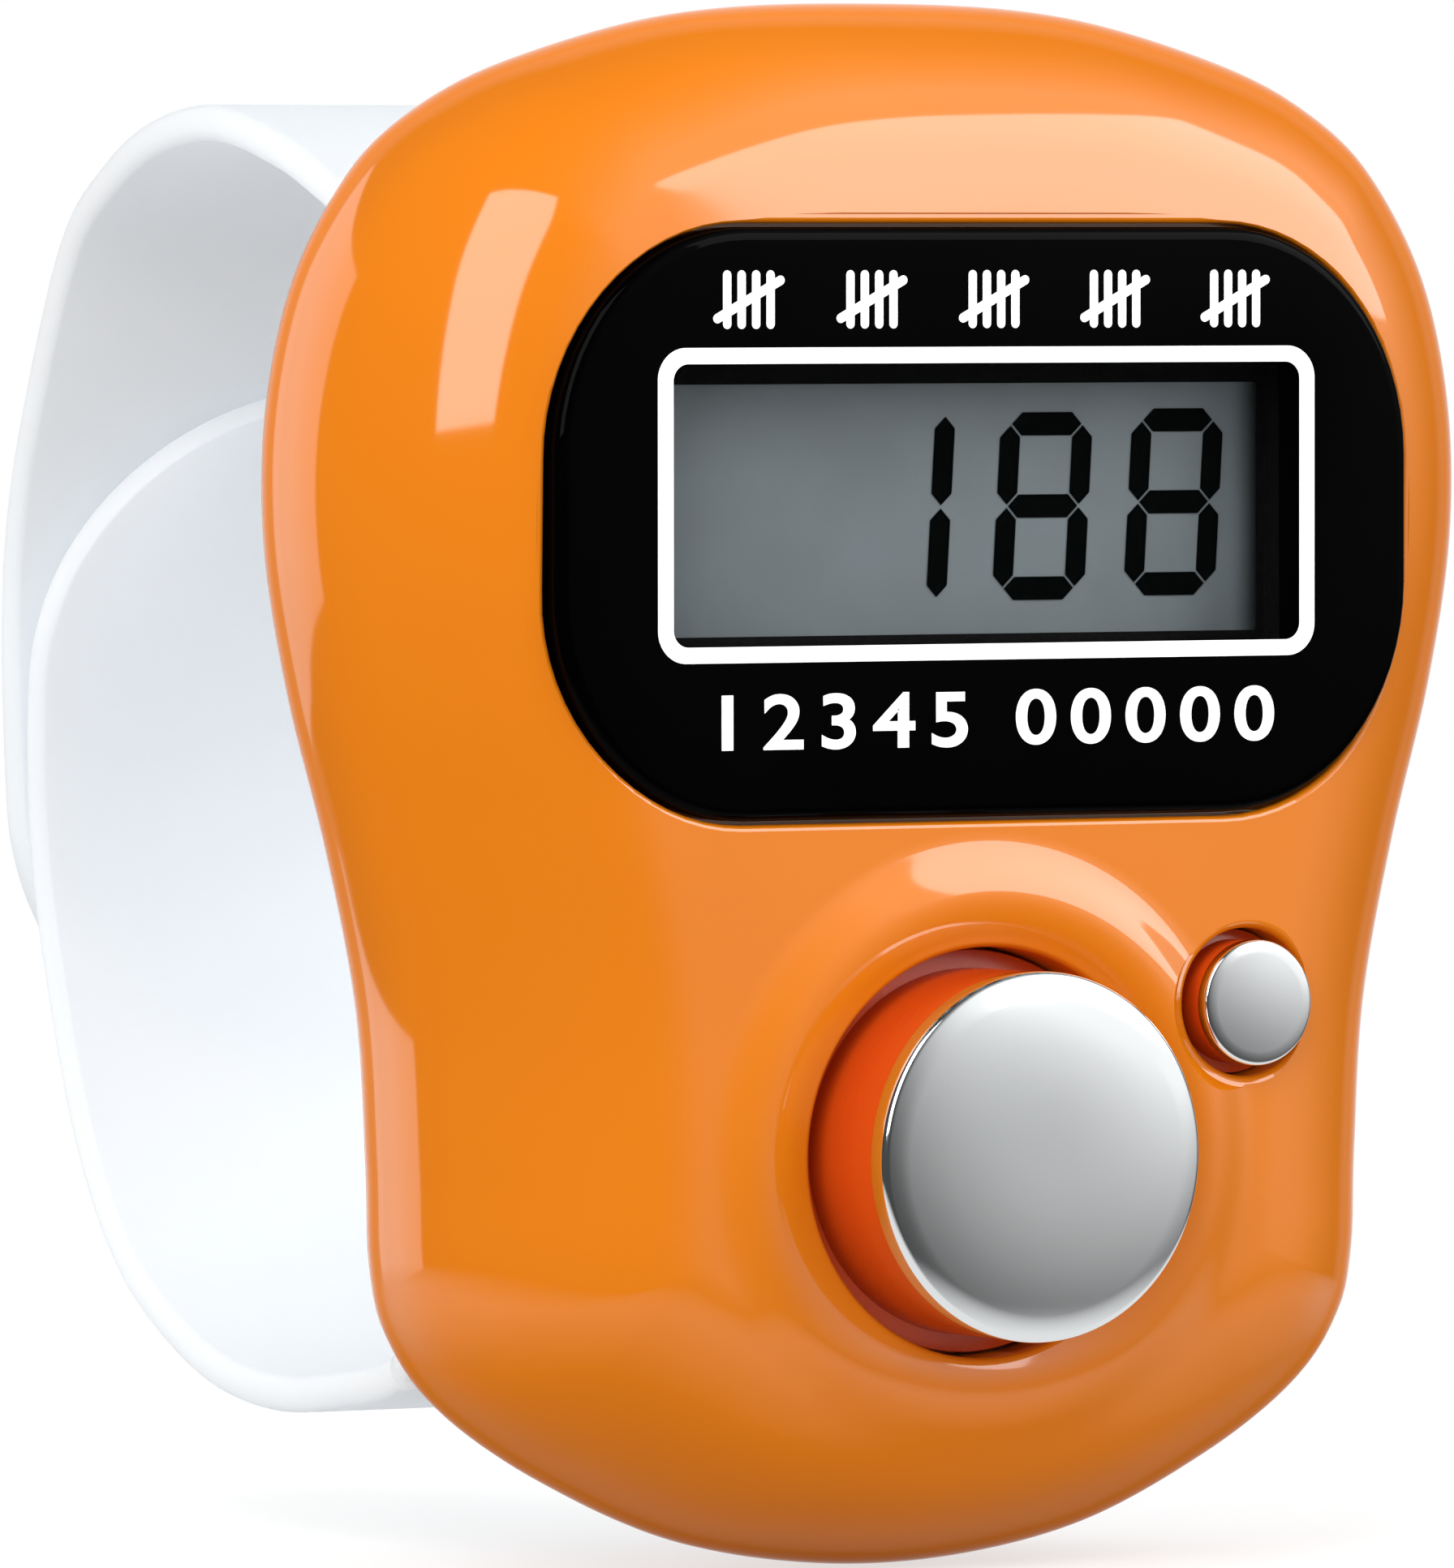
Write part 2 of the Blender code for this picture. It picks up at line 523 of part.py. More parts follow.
def make_back_cover(material, parent):
    """The back cover: a shallow dish with the battery pot and four screw recesses."""
    seam_angle = math.degrees(math.asin((SEAM_DEPTH + FIT_GAP - HALF_DEPTH) / HALF_DEPTH))
    angles = [degrees for degrees in EDGE_ANGLES if degrees > seam_angle]
    rings = []
    for degrees in reversed(angles + [seam_angle]):
        angle = math.radians(degrees)
        rings.append(outline_ring(EDGE_REACH * (1 - math.cos(angle)),
                                  HALF_DEPTH * (1 + math.sin(angle))))
    cover = make_object("back_cover", loft(rings), material, parent)
    cavity = [outline_ring(SIDE_WALL, SEAM_DEPTH - CUT_OVERRUN),
              outline_ring(SIDE_WALL, SEAM_DEPTH + FIT_GAP),
              outline_ring(SHOULDER_WALL, COVER_INNER)]
    combine(cover, "cavity", loft(cavity), 'DIFFERENCE')
    pot = turned([(POT_RADIUS, COVER_INNER + FIT_GAP), (POT_RADIUS, COVER_INNER - POT_HEIGHT),
                  (POT_RADIUS - POT_WALL, COVER_INNER - POT_HEIGHT),
                  (POT_RADIUS - POT_WALL, COVER_INNER + FIT_GAP)], ROUND_STEPS)
    combine(cover, "pot", pot, 'UNION')
    for index, (side, up) in enumerate(CASE_SCREW_PLACES):
        boss = rod(CASE_HEAD_RADIUS + 2 * FIT_GAP, SEAM_DEPTH + FIT_GAP, COVER_INNER + FIT_GAP)
        combine(cover, f"boss_{index + 1}", boss, 'UNION', (side, 0, up))
    for index, (side, up) in enumerate(CASE_SCREW_PLACES):
        recess = turned([(0, SEAM_DEPTH - CUT_OVERRUN),
                         (CASE_SCREW_RADIUS + FIT_GAP, SEAM_DEPTH - CUT_OVERRUN),
                         (CASE_SCREW_RADIUS + FIT_GAP, CASE_HEAD_SEAT),
                         (CASE_HEAD_RADIUS + FIT_GAP, CASE_HEAD_SEAT),
                         (CASE_HEAD_RADIUS + FIT_GAP, CASE_DEPTH + CUT_OVERRUN),
                         (0, CASE_DEPTH + CUT_OVERRUN)], SMALL_ROUND_STEPS)
        combine(cover, f"recess_{index + 1}", recess, 'DIFFERENCE', (side, 0, up))
    door_hole = rod(DOOR_HOLE, COVER_INNER - CUT_OVERRUN, CASE_DEPTH + CUT_OVERRUN, ROUND_STEPS)
    combine(cover, "door_hole", door_hole, 'DIFFERENCE')
    notch = block(2 * (LUG_RADIUS + FIT_GAP), BACK_WALL + 2 * CUT_OVERRUN,
                  DOOR_LUG_WIDTH + 2 * FIT_GAP, (0, CASE_DEPTH - BACK_WALL / 2, 0))
    combine(cover, "lug_notches", notch, 'DIFFERENCE', turn=DOOR_TURN)
    for name, up in (("upper", PEG_UP), ("lower", -PEG_UP)):
        hole = rod(PEG_RADIUS + PEG_HOLE_GAP, COVER_INNER - CUT_OVERRUN, CASE_DEPTH + CUT_OVERRUN)
        combine(cover, name + "_peg_hole", hole, 'DIFFERENCE', (0, 0, up))
    return cover


# Display

def make_display(materials, parent):
    """The lens and gasket, the two glasses with their reflector, the holder and connector."""
    inset = LENS_EDGE_ROUND
    lens_rings = []
    for narrow, depth in ((inset, -LENS_PROUD), (0, inset - LENS_PROUD), (0, LENS_BACK)):
        lens_rings.append(corner_ring(LENS_WIDTH - 2 * narrow, LENS_HEIGHT - 2 * narrow,
                                      LENS_CORNER_WIDTH - narrow, LENS_CORNER_HEIGHT - narrow,
                                      depth, 0, LENS_UP))
    make_object("display_lens", loft(lens_rings), materials["lens"], parent)

    gasket_width = WINDOW_WIDTH - 2 * FIT_GAP
    gasket_height = WINDOW_HEIGHT - 2 * FIT_GAP
    gasket_rings = [corner_ring(gasket_width, gasket_height, WINDOW_CORNER, WINDOW_CORNER, depth,
                                WINDOW_SIDE, WINDOW_Z)
                    for depth in (LENS_BACK + FIT_GAP, FRONT_WALL)]
    gasket = make_object("window_gasket", loft(gasket_rings), materials["black_foam"], parent)
    opening = [corner_ring(gasket_width - 2 * GASKET_WALL, gasket_height - 2 * GASKET_WALL,
                           WINDOW_CORNER - GASKET_WALL, WINDOW_CORNER - GASKET_WALL, depth,
                           WINDOW_SIDE, WINDOW_Z)
               for depth in (LENS_BACK, FRONT_WALL + CUT_OVERRUN)]
    combine(gasket, "opening", loft(opening), 'DIFFERENCE')

    front = block(GLASS_WIDTH, GLASS_THICKNESS, FRONT_GLASS_HEIGHT,
                  (WINDOW_SIDE, FRONT_GLASS_DEPTH + GLASS_THICKNESS / 2, FRONT_GLASS_Z))
    make_object("lcd_front_glass", front, materials["glass"], parent)
    rear = block(GLASS_WIDTH, GLASS_THICKNESS, REAR_GLASS_HEIGHT,
                 (WINDOW_SIDE, REAR_GLASS_DEPTH + GLASS_THICKNESS / 2, REAR_GLASS_Z))
    make_object("lcd_rear_glass", rear, materials["glass"], parent)
    reflector = block(GLASS_WIDTH - 2 * REFLECTOR_MARGIN, REFLECTOR_THICKNESS,
                      REAR_GLASS_HEIGHT - 2 * REFLECTOR_MARGIN,
                      (WINDOW_SIDE, REFLECTOR_DEPTH + REFLECTOR_THICKNESS / 2, REAR_GLASS_Z))
    make_object("lcd_reflector", reflector, materials["reflector"], parent)

    inner_width = 2 * (HOLDER_HALF_WIDTH - HOLDER_WALL)
    inner_height = FRONT_GLASS_HEIGHT + 2 * FIT_GAP
    holder_back = BOARD_DEPTH - FIT_GAP
    holder_centre = (WINDOW_SIDE, (FRONT_GLASS_DEPTH + holder_back) / 2, FRONT_GLASS_Z)
    holder_depth = holder_back - FRONT_GLASS_DEPTH
    holder = make_object("lcd_holder",
                         block(2 * HOLDER_HALF_WIDTH, holder_depth,
                               inner_height + 2 * HOLDER_WALL, holder_centre),
                         materials["black_plastic"], parent)
    combine(holder, "pocket", block(inner_width, holder_depth + 2 * CUT_OVERRUN, inner_height,
                                    holder_centre), 'DIFFERENCE')

    zebra_front = FRONT_GLASS_DEPTH + GLASS_THICKNESS + FIT_GAP
    zebra_back = BOARD_DEPTH - FIT_GAP
    zebra = block(GLASS_WIDTH - 2 * ZEBRA_INSET, zebra_back - zebra_front, ZEBRA_THICKNESS,
                  (WINDOW_SIDE, (zebra_front + zebra_back) / 2, ZEBRA_Z))
    make_object("zebra_connector", zebra, materials["grey_rubber"], parent)


# Circuit board

def make_board(materials, parent):
    """The circuit board with its chip under resin, a resistor and a capacitor."""
    outline = [outline_ring(BOARD_EDGE, BOARD_DEPTH), outline_ring(BOARD_EDGE, BOARD_BACK)]
    board = make_object("circuit_board", loft(outline), materials["board"], parent)
    for index, (side, up) in enumerate(CASE_SCREW_PLACES):
        notch = rod(CASE_BOSS_RADIUS + FIT_GAP, BOARD_DEPTH - CUT_OVERRUN,
                    BOARD_BACK + CUT_OVERRUN)
        combine(board, f"boss_notch_{index + 1}", notch, 'DIFFERENCE', (side, 0, up))
        reach = block(2 * CASE_BOSS_RADIUS + 2 * FIT_GAP, BOARD_THICKNESS + 2 * CUT_OVERRUN,
                      2 * CASE_BOSS_RADIUS + 2 * FIT_GAP,
                      (math.copysign(CASE_BOSS_RADIUS, side), BOARD_DEPTH, 0))
        combine(board, f"edge_notch_{index + 1}", reach, 'DIFFERENCE', (side, 0, up))
    for index, (side, up) in enumerate(BOARD_SCREW_PLACES):
        hole = rod(BOARD_SCREW_RADIUS + FIT_GAP, BOARD_DEPTH - CUT_OVERRUN,
                   BOARD_BACK + CUT_OVERRUN)
        combine(board, f"screw_hole_{index + 1}", hole, 'DIFFERENCE', (side, 0, up))

    part_front = BOARD_BACK + FIT_GAP
    chip = [(0, 0)]
    for step in range(CORNER_STEPS):
        angle = math.pi / 2 * step / CORNER_STEPS
        chip.append((CHIP_RADIUS * math.cos(angle), CHIP_HEIGHT * math.sin(angle)))
    chip.append((0, CHIP_HEIGHT))
    make_object("chip_blob", turned(chip, ROUND_STEPS), materials["resin"], parent,
                (0, part_front, CHIP_UP_SHARE * HALF_HEIGHT))
    resistor_side, resistor_up = RESISTOR_SHARES
    resistor = block(RESISTOR_WIDTH, RESISTOR_HEIGHT, RESISTOR_LENGTH,
                     (resistor_side * HALF_WIDTH, part_front + RESISTOR_HEIGHT / 2,
                      resistor_up * HALF_HEIGHT))
    make_object("timing_resistor", resistor, materials["resin"], parent)
    capacitor_side, capacitor_up = CAPACITOR_SHARES
    capacitor = block(CAPACITOR_WIDTH, CAPACITOR_HEIGHT, CAPACITOR_LENGTH,
                      (capacitor_side * HALF_WIDTH, part_front + CAPACITOR_HEIGHT / 2,
                       capacitor_up * HALF_HEIGHT))
    make_object("supply_capacitor", capacitor, materials["ceramic"], parent)


# Buttons

def make_buttons(materials, parent):
    """The two plated buttons, each hollow behind, with the rubber dome and pill it presses."""
    count_back = FLANGE_DEPTH + COUNT_FLANGE_THICKNESS
    count_inner = COUNT_RADIUS - COUNT_SKIRT_WALL
    crown = [(COUNT_RADIUS * share, -COUNT_PROUD + COUNT_CROWN * (share ** 2 - 1))
             for share in COUNT_CROWN_SHARES]
    count = crown + [
        (COUNT_RADIUS - COUNT_EDGE, -COUNT_PROUD),
        (COUNT_RADIUS - COUNT_EDGE / 4, -COUNT_PROUD + COUNT_EDGE / 4),
        (COUNT_RADIUS, -COUNT_PROUD + COUNT_EDGE), (COUNT_RADIUS, FLANGE_DEPTH),
        (COUNT_FLANGE, FLANGE_DEPTH), (COUNT_FLANGE, count_back), (count_inner, count_back),
        (count_inner, -COUNT_PROUD + COUNT_TOP_WALL),
        (COUNT_POST_RADIUS, -COUNT_PROUD + COUNT_TOP_WALL), (COUNT_POST_RADIUS, count_back),
        (0, count_back)]
    make_object("count_button", turned(count, ROUND_STEPS), materials["chrome"], parent,
                (0, 0, COUNT_UP))
    reset_back = FLANGE_DEPTH + RESET_FLANGE_THICKNESS
    reset = [(0, -RESET_PROUD), (RESET_RADIUS - RESET_EDGE, -RESET_PROUD),
             (RESET_RADIUS, -RESET_PROUD + RESET_EDGE), (RESET_RADIUS, FLANGE_DEPTH),
             (RESET_FLANGE, FLANGE_DEPTH), (RESET_FLANGE, reset_back), (0, reset_back)]
    make_object("reset_button", turned(reset, ROUND_STEPS), materials["chrome"], parent,
                (RESET_SIDE, 0, RESET_UP))

    foot_back = BOARD_DEPTH - FIT_GAP
    for name, side, up, button_back, base, top, foot, pill in (
            ("count", 0, COUNT_UP, count_back, COUNT_DOME_RADIUS, COUNT_DOME_TOP_RADIUS,
             COUNT_FOOT_RADIUS, COUNT_PILL_RADIUS),
            ("reset", RESET_SIDE, RESET_UP, reset_back, RESET_DOME_RADIUS,
             RESET_DOME_TOP_RADIUS, RESET_FOOT_RADIUS, RESET_PILL_RADIUS)):
        dome_front = button_back + FIT_GAP
        dome = [(0, dome_front), (top, dome_front), (base, foot_back - DOME_FOOT),
                (foot, foot_back - DOME_FOOT), (foot, foot_back), (base - DOME_WALL, foot_back),
                (top - DOME_WALL / 2, dome_front + DOME_WALL), (0, dome_front + DOME_WALL)]
        make_object(name + "_dome", turned(dome, ROUND_STEPS), materials["clear_rubber"],
                    parent, (side, 0, up))
        pill_front = dome_front + DOME_WALL + FIT_GAP
        make_object(name + "_contact_pill", rod(pill, pill_front, pill_front + PILL_THICKNESS),
                    materials["carbon"], parent, (side, 0, up))


# Battery

def make_battery(materials, parent):
    """The button cell, its two contacts and the coin slot door with its two lugs."""
    cell_back = CELL_FRONT + CELL_HEIGHT
    cell = [(0, CELL_FRONT), (CELL_CAP_RADIUS, CELL_FRONT),
            (CELL_CAP_RADIUS, CELL_FRONT + CELL_STEP), (CELL_RADIUS - CELL_CORNER,
                                                        CELL_FRONT + CELL_STEP),
            (CELL_RADIUS, CELL_FRONT + CELL_STEP + CELL_CORNER),
            (CELL_RADIUS, cell_back - CELL_CORNER), (CELL_RADIUS - CELL_CORNER, cell_back),
            (0, cell_back)]
    make_object("button_cell", turned(cell, ROUND_STEPS), materials["steel"], parent)

    base = BOARD_BACK + FIT_GAP
    rings = []
    for along, rise in SPRING_BEND_SHARES:
        front = base + rise * SPRING_RISE
        rings.append([Vector((along * SPRING_LENGTH, depth, up)) for depth, up in (
            (front, -SPRING_WIDTH / 2), (front + CONTACT_THICKNESS, -SPRING_WIDTH / 2),
            (front + CONTACT_THICKNESS, SPRING_WIDTH / 2), (front, SPRING_WIDTH / 2))])
    make_object("battery_minus_spring", loft(rings), materials["nickel"], parent)

    inner = CELL_RADIUS + FIT_GAP
    profile = [(inner, base), (inner, base + CLIP_HEIGHT),
               (inner + CONTACT_THICKNESS, base + CLIP_HEIGHT),
               (inner + CONTACT_THICKNESS, base + CONTACT_THICKNESS),
               (inner + CLIP_FOOT, base + CONTACT_THICKNESS), (inner + CLIP_FOOT, base)]
    clip = loft([[Vector((x, depth, up)) for x, depth in profile]
                 for up in (-CLIP_WIDTH / 2, CLIP_WIDTH / 2)])
    make_object("battery_plus_clip", clip, materials["nickel"], parent)

    skirt_front = DOOR_INNER - DOOR_SKIRT_DEPTH
    skirt_inner = DOOR_RADIUS - DOOR_SKIRT_WALL
    door_profile = [(0, DOOR_INNER), (skirt_inner, DOOR_INNER), (skirt_inner, skirt_front),
                    (DOOR_RADIUS, skirt_front), (DOOR_RADIUS, CASE_DEPTH), (0, CASE_DEPTH)]
    door = make_object("battery_door", turned(door_profile, ROUND_STEPS), materials["orange"],
                       parent)
    lug_depth = COVER_INNER - FIT_GAP - DOOR_LUG_THICKNESS / 2
    for name, sign in (("right", 1), ("left", -1)):
        reach = DOOR_LUG_REACH + DOOR_SKIRT_WALL / 2
        lug = block(reach, DOOR_LUG_THICKNESS, DOOR_LUG_WIDTH)
        combine(door, name + "_lug", lug, 'UNION', (sign * (LUG_RADIUS - reach / 2), lug_depth, 0))
    slot = block(DOOR_SLOT_LENGTH, 2 * DOOR_SLOT_DEPTH, DOOR_SLOT_WIDTH, (0, CASE_DEPTH, 0))
    combine(door, "coin_slot", slot, 'DIFFERENCE')


# Screws

def make_screw(name, place, head_radius, head_height, radius, length, materials, parent):
    """A cross head screw driven from the back, with its head's seat at the given place."""
    flat_share, side_share = SCREW_CROWN_SHARES
    profile = [(0, -length), (radius * SCREW_POINT_SHARE, -length), (radius, -length + radius),
               (radius, 0), (head_radius, 0), (head_radius, head_height * side_share),
               (head_radius * flat_share, head_height), (0, head_height)]
    screw = make_object(name, turned(profile, SMALL_ROUND_STEPS), materials["steel"], parent,
                        place)
    for index, turn in enumerate((0, math.pi / 2)):
        slot = block(2 * head_radius * CROSS_LENGTH_SHARE, 2 * head_height * CROSS_DEPTH_SHARE,
                     head_radius * CROSS_WIDTH_SHARE, (0, head_height, 0))
        combine(screw, f"slot_{index + 1}", slot, 'DIFFERENCE', place, turn)
    return screw


def make_screws(materials, parent):
    """Four screws close the case and three hold the board."""
    for index, (side, up) in enumerate(CASE_SCREW_PLACES):
        make_screw(f"case_screw_{index + 1}", (side, CASE_HEAD_SEAT + FIT_GAP, up),
                   CASE_HEAD_RADIUS, CASE_HEAD_HEIGHT, CASE_SCREW_RADIUS, CASE_SCREW_LENGTH,
                   materials, parent)
    for index, (side, up) in enumerate(BOARD_SCREW_PLACES):
        make_screw(f"board_screw_{index + 1}", (side, BOARD_BACK + FIT_GAP, up),
                   BOARD_HEAD_RADIUS, BOARD_HEAD_HEIGHT, BOARD_SCREW_RADIUS,
                   BOARD_SCREW_LENGTH, materials, parent)


# Finger band

def band_section(point, normal, half_width):
    """Return one cross section of the band: a flat strip with bevelled edges."""
    half = BAND_THICKNESS / 2
    edge = min(BAND_EDGE, half_width * BAND_TIP_EDGE_SHARE)
    corners = [(-half_width + edge, -half), (half_width - edge, -half),
               (half_width, -half + edge), (half_width, half - edge),
               (half_width - edge, half), (-half_width + edge, half),
               (-half_width, half - edge), (-half_width, -half + edge)]
    return [Vector((x, point.x + normal.x * across, point.y + normal.y * across))
            for x, across in corners]


def line_normals(points):
    """Return the normals of a chain of points, turned a quarter from its direction."""
    normals = []
    for index in range(len(points)):
        along = points[min(index + 1, len(points) - 1)] - points[max(index - 1, 0)]
        normals.append(Vector((-along.y, along.x)).normalized())
    return normals


def band_strip(line, tongue_length):
    """Return a strip along a line, with a rounded tongue at its end if it has a length."""
    normals = line_normals(line)
    rings = []
    left = [0.0]
    for first, second in zip(reversed(line[1:]), reversed(line[:-1])):
        left.append(left[-1] + (second - first).length)
    left.reverse()
    for point, normal, remaining in zip(line, normals, left):
        half_width = BAND_WIDTH / 2
        if tongue_length and remaining < tongue_length:
            share = 1 - remaining / tongue_length
            half_width *= math.sqrt(max(1 - share ** 2, 0))
        rings.append(band_section(point, normal, half_width))
    return loft(rings)


def along_line(line, goals):
    """Return the points that lie at the given lengths along a chain of points."""
    result = []
    passed = 0.0
    index = 0
    for goal in goals:
        step = (line[index + 1] - line[index]).length
        while passed + step < goal and index < len(line) - 2:
            passed += step
            index += 1
            step = (line[index + 1] - line[index]).length
        result.append(line[index].lerp(line[index + 1], min((goal - passed) / step, 1.0)))
    return result


def arm_line(line, tongue_length):
    """Return an arm's middle line, starting past its hinge, with close points at its tip."""
    length = sum((second - first).length for first, second in zip(line, line[1:]))
    straight = length - tongue_length - HINGE_GAP
    goals = [HINGE_GAP + straight * step / ARM_STEPS for step in range(ARM_STEPS + 1)]
    for step in range(1, TONGUE_STEPS + 1):
        angle = TONGUE_END * step / TONGUE_STEPS
        goals.append(HINGE_GAP + straight + tongue_length * math.sin(angle))
    return along_line(line, goals)


def half_band(arm_shares, reach, height):
    """Return the smooth middle line of half the band, split at its living hinge."""
    hinge_up = arm_shares[0][1] * height
    points = [Vector((SADDLE_MIDDLE, hinge_up * share)) for share in SADDLE_FLAT_SHARES]
    points += [Vector((CASE_DEPTH + share * reach, up * height)) for share, up in arm_shares]
    split = len(SADDLE_FLAT_SHARES) * LINE_STEPS
    line = smooth_points(points, False, LINE_STEPS)
    return line[:split + 1], line[split:]


def make_band(materials, parent):
    """The saddle behind the case and the two curled arms on their living hinges."""
    upper_flat, upper_arm = half_band(UPPER_ARM_SHARES, UPPER_REACH, UPPER_HEIGHT)
    lower_flat, lower_arm = half_band(LOWER_ARM_SHARES, LOWER_REACH, -LOWER_HEIGHT)
    line = lower_flat[:0:-1] + upper_flat
    saddle = make_object("band_saddle", band_strip(line, 0), materials["band"], parent)
    hole = rod(SADDLE_HOLE, CASE_DEPTH - CUT_OVERRUN, HOLE_FRONT + CUT_OVERRUN, ROUND_STEPS)
    combine(saddle, "door_hole", hole, 'DIFFERENCE')
    head_back = COVER_INNER - FIT_GAP
    head_front = head_back - PEG_HEAD_THICKNESS
    for name, up in (("upper", PEG_UP), ("lower", -PEG_UP)):
        peg = turned([(0, head_front), (PEG_HEAD_RADIUS, head_front),
                      (PEG_HEAD_RADIUS, head_back), (PEG_RADIUS, head_back),
                      (PEG_RADIUS, SADDLE_MIDDLE), (0, SADDLE_MIDDLE)], SMALL_ROUND_STEPS)
        combine(saddle, name + "_peg", peg, 'UNION', (0, 0, up))
    for name, line, tongue in (("upper", upper_arm, UPPER_TONGUE_LENGTH),
                               ("lower", lower_arm, LOWER_TONGUE_LENGTH)):
        pivot = line[0] + line_normals(line)[0] * BAND_THICKNESS / 2
        strip = band_strip(arm_line(line, tongue), tongue)
        bmesh.ops.translate(strip, vec=(0, -pivot.x, -pivot.y), verts=strip.verts)
        make_object(f"band_{name}_arm", strip, materials["band"], parent,
                    (0, pivot.x, pivot.y))


# Whole counter

def make_materials():
    """One plain material for each kind of surface."""
    return {
        "orange": make_material("glossy_orange_abs", (0.80, 0.22, 0.018), 0.12),
        "lens": make_material("black_acrylic", (0.002, 0.002, 0.002), 0.05),
        "glass": make_material("display_glass", (0.13, 0.16, 0.155), 0.10, alpha=0.6),
        "reflector": make_material("grey_reflector", (0.15, 0.18, 0.175), 0.35),
        "black_plastic": make_material("black_styrene", (0.01, 0.01, 0.01), 0.45),
        "black_foam": make_material("black_foam", (0.008, 0.008, 0.008), 0.80),
        "grey_rubber": make_material("striped_rubber", (0.10, 0.10, 0.11), 0.80),
        "board": make_material("green_board", (0.012, 0.09, 0.035), 0.40),
        "resin": make_material("black_resin", (0.008, 0.008, 0.009), 0.25),
        "ceramic": make_material("tan_ceramic", (0.36, 0.24, 0.14), 0.40),
        "chrome": make_material("chrome_plated_abs", (0.60, 0.63, 0.64), 0.06, 1.0),
        "clear_rubber": make_material("milky_silicone", (0.62, 0.62, 0.60), 0.50),
        "carbon": make_material("carbon_rubber", (0.02, 0.02, 0.02), 0.70),
        "steel": make_material("stainless_steel", (0.56, 0.56, 0.54), 0.25, 1.0),
        "nickel": make_material("nickel_plate", (0.60, 0.56, 0.48), 0.22, 1.0),
        "band": make_material("milky_polythene", (0.80, 0.81, 0.82), 0.35),
    }


def main():
    """Clear the scene and build the counter."""
    for obj in list(bpy.data.objects):
        bpy.data.objects.remove(obj)
    materials = make_materials()
    body_frame = make_empty("body_frame", (0, -RING_CENTRE_DEPTH, -RING_CENTRE_UP))
    make_front_shell(materials["orange"], body_frame)
    make_back_cover(materials["orange"], body_frame)
    make_display(materials, body_frame)
    make_board(materials, body_frame)
    make_buttons(materials, body_frame)
    make_battery(materials, body_frame)
    make_screws(materials, body_frame)
    make_band(materials, body_frame)


main()
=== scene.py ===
"""Finger tally counter, dressed for its picture.

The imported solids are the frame. Every visible piece is made here in millimetres, in the same
three directions as the part: x to the right, depth behind the flat face of the case, and up
above the middle of the case.
"""
from math import asin, atan2, cos, hypot, pi, radians, sin, sqrt, tan

import bmesh
import bpy
from mathutils import Matrix, Vector, bvhtree, interpolate, kdtree


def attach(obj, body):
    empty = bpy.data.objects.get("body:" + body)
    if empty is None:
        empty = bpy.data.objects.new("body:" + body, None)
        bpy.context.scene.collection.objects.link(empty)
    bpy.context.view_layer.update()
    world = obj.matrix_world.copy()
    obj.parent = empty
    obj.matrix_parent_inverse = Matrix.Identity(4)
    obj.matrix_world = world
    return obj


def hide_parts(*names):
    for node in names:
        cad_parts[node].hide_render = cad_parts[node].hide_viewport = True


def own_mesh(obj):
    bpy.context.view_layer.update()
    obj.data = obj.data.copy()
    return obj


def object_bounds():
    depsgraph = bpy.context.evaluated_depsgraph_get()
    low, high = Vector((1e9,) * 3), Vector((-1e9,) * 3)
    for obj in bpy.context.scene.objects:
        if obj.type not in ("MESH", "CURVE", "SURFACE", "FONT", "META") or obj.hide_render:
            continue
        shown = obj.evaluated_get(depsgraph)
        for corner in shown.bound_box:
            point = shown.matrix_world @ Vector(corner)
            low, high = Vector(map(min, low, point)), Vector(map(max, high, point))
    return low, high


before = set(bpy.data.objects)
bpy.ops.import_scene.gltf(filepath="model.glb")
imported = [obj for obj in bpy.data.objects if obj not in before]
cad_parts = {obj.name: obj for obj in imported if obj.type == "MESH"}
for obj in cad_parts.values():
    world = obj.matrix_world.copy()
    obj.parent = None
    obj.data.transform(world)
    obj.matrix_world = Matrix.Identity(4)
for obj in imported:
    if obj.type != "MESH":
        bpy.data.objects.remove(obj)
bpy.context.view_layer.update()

MM = 0.001
FACE_Y = -24.7          # flat face of the case, from the middle of the finger hole
MIDDLE_Z = -0.65        # middle of the case, from the middle of the finger hole


def spot(x, depth, up):
    """Return the place of a point given in millimetres on the counter."""
    return Vector((x * MM, (depth + FACE_Y) * MM, (up + MIDDLE_Z) * MM))


def new_object(name, data):
    """Put a new object into the scene."""
    thing = bpy.data.objects.new(name, data)
    bpy.context.collection.objects.link(thing)
    return thing


def mesh_object(name, points, edges, faces):
    """Make an object out of points, edges and faces."""
    mesh = bpy.data.meshes.new(name)
    mesh.from_pydata(points, edges, faces)
    return new_object(name, mesh)


# Camera and lamps

PHOTO_HEIGHT = 1933                 # in dots; the photograph is 1792 of them wide
LENS_DOTS = 21000                   # length of the lens, in the same dots
AIM = spot(0, 6.3, 0)
TURN = radians(30.430)         # the camera stands this far to the left of the face
DROP = radians(1.7856)         # and looks down this much
ROLL = radians(-0.0502)
ASIDE = 3.6602 * MM
RAISE = 0.1013 * MM
DISTANCE = 456.26 * MM
LAMP_DISTANCE = 0.45


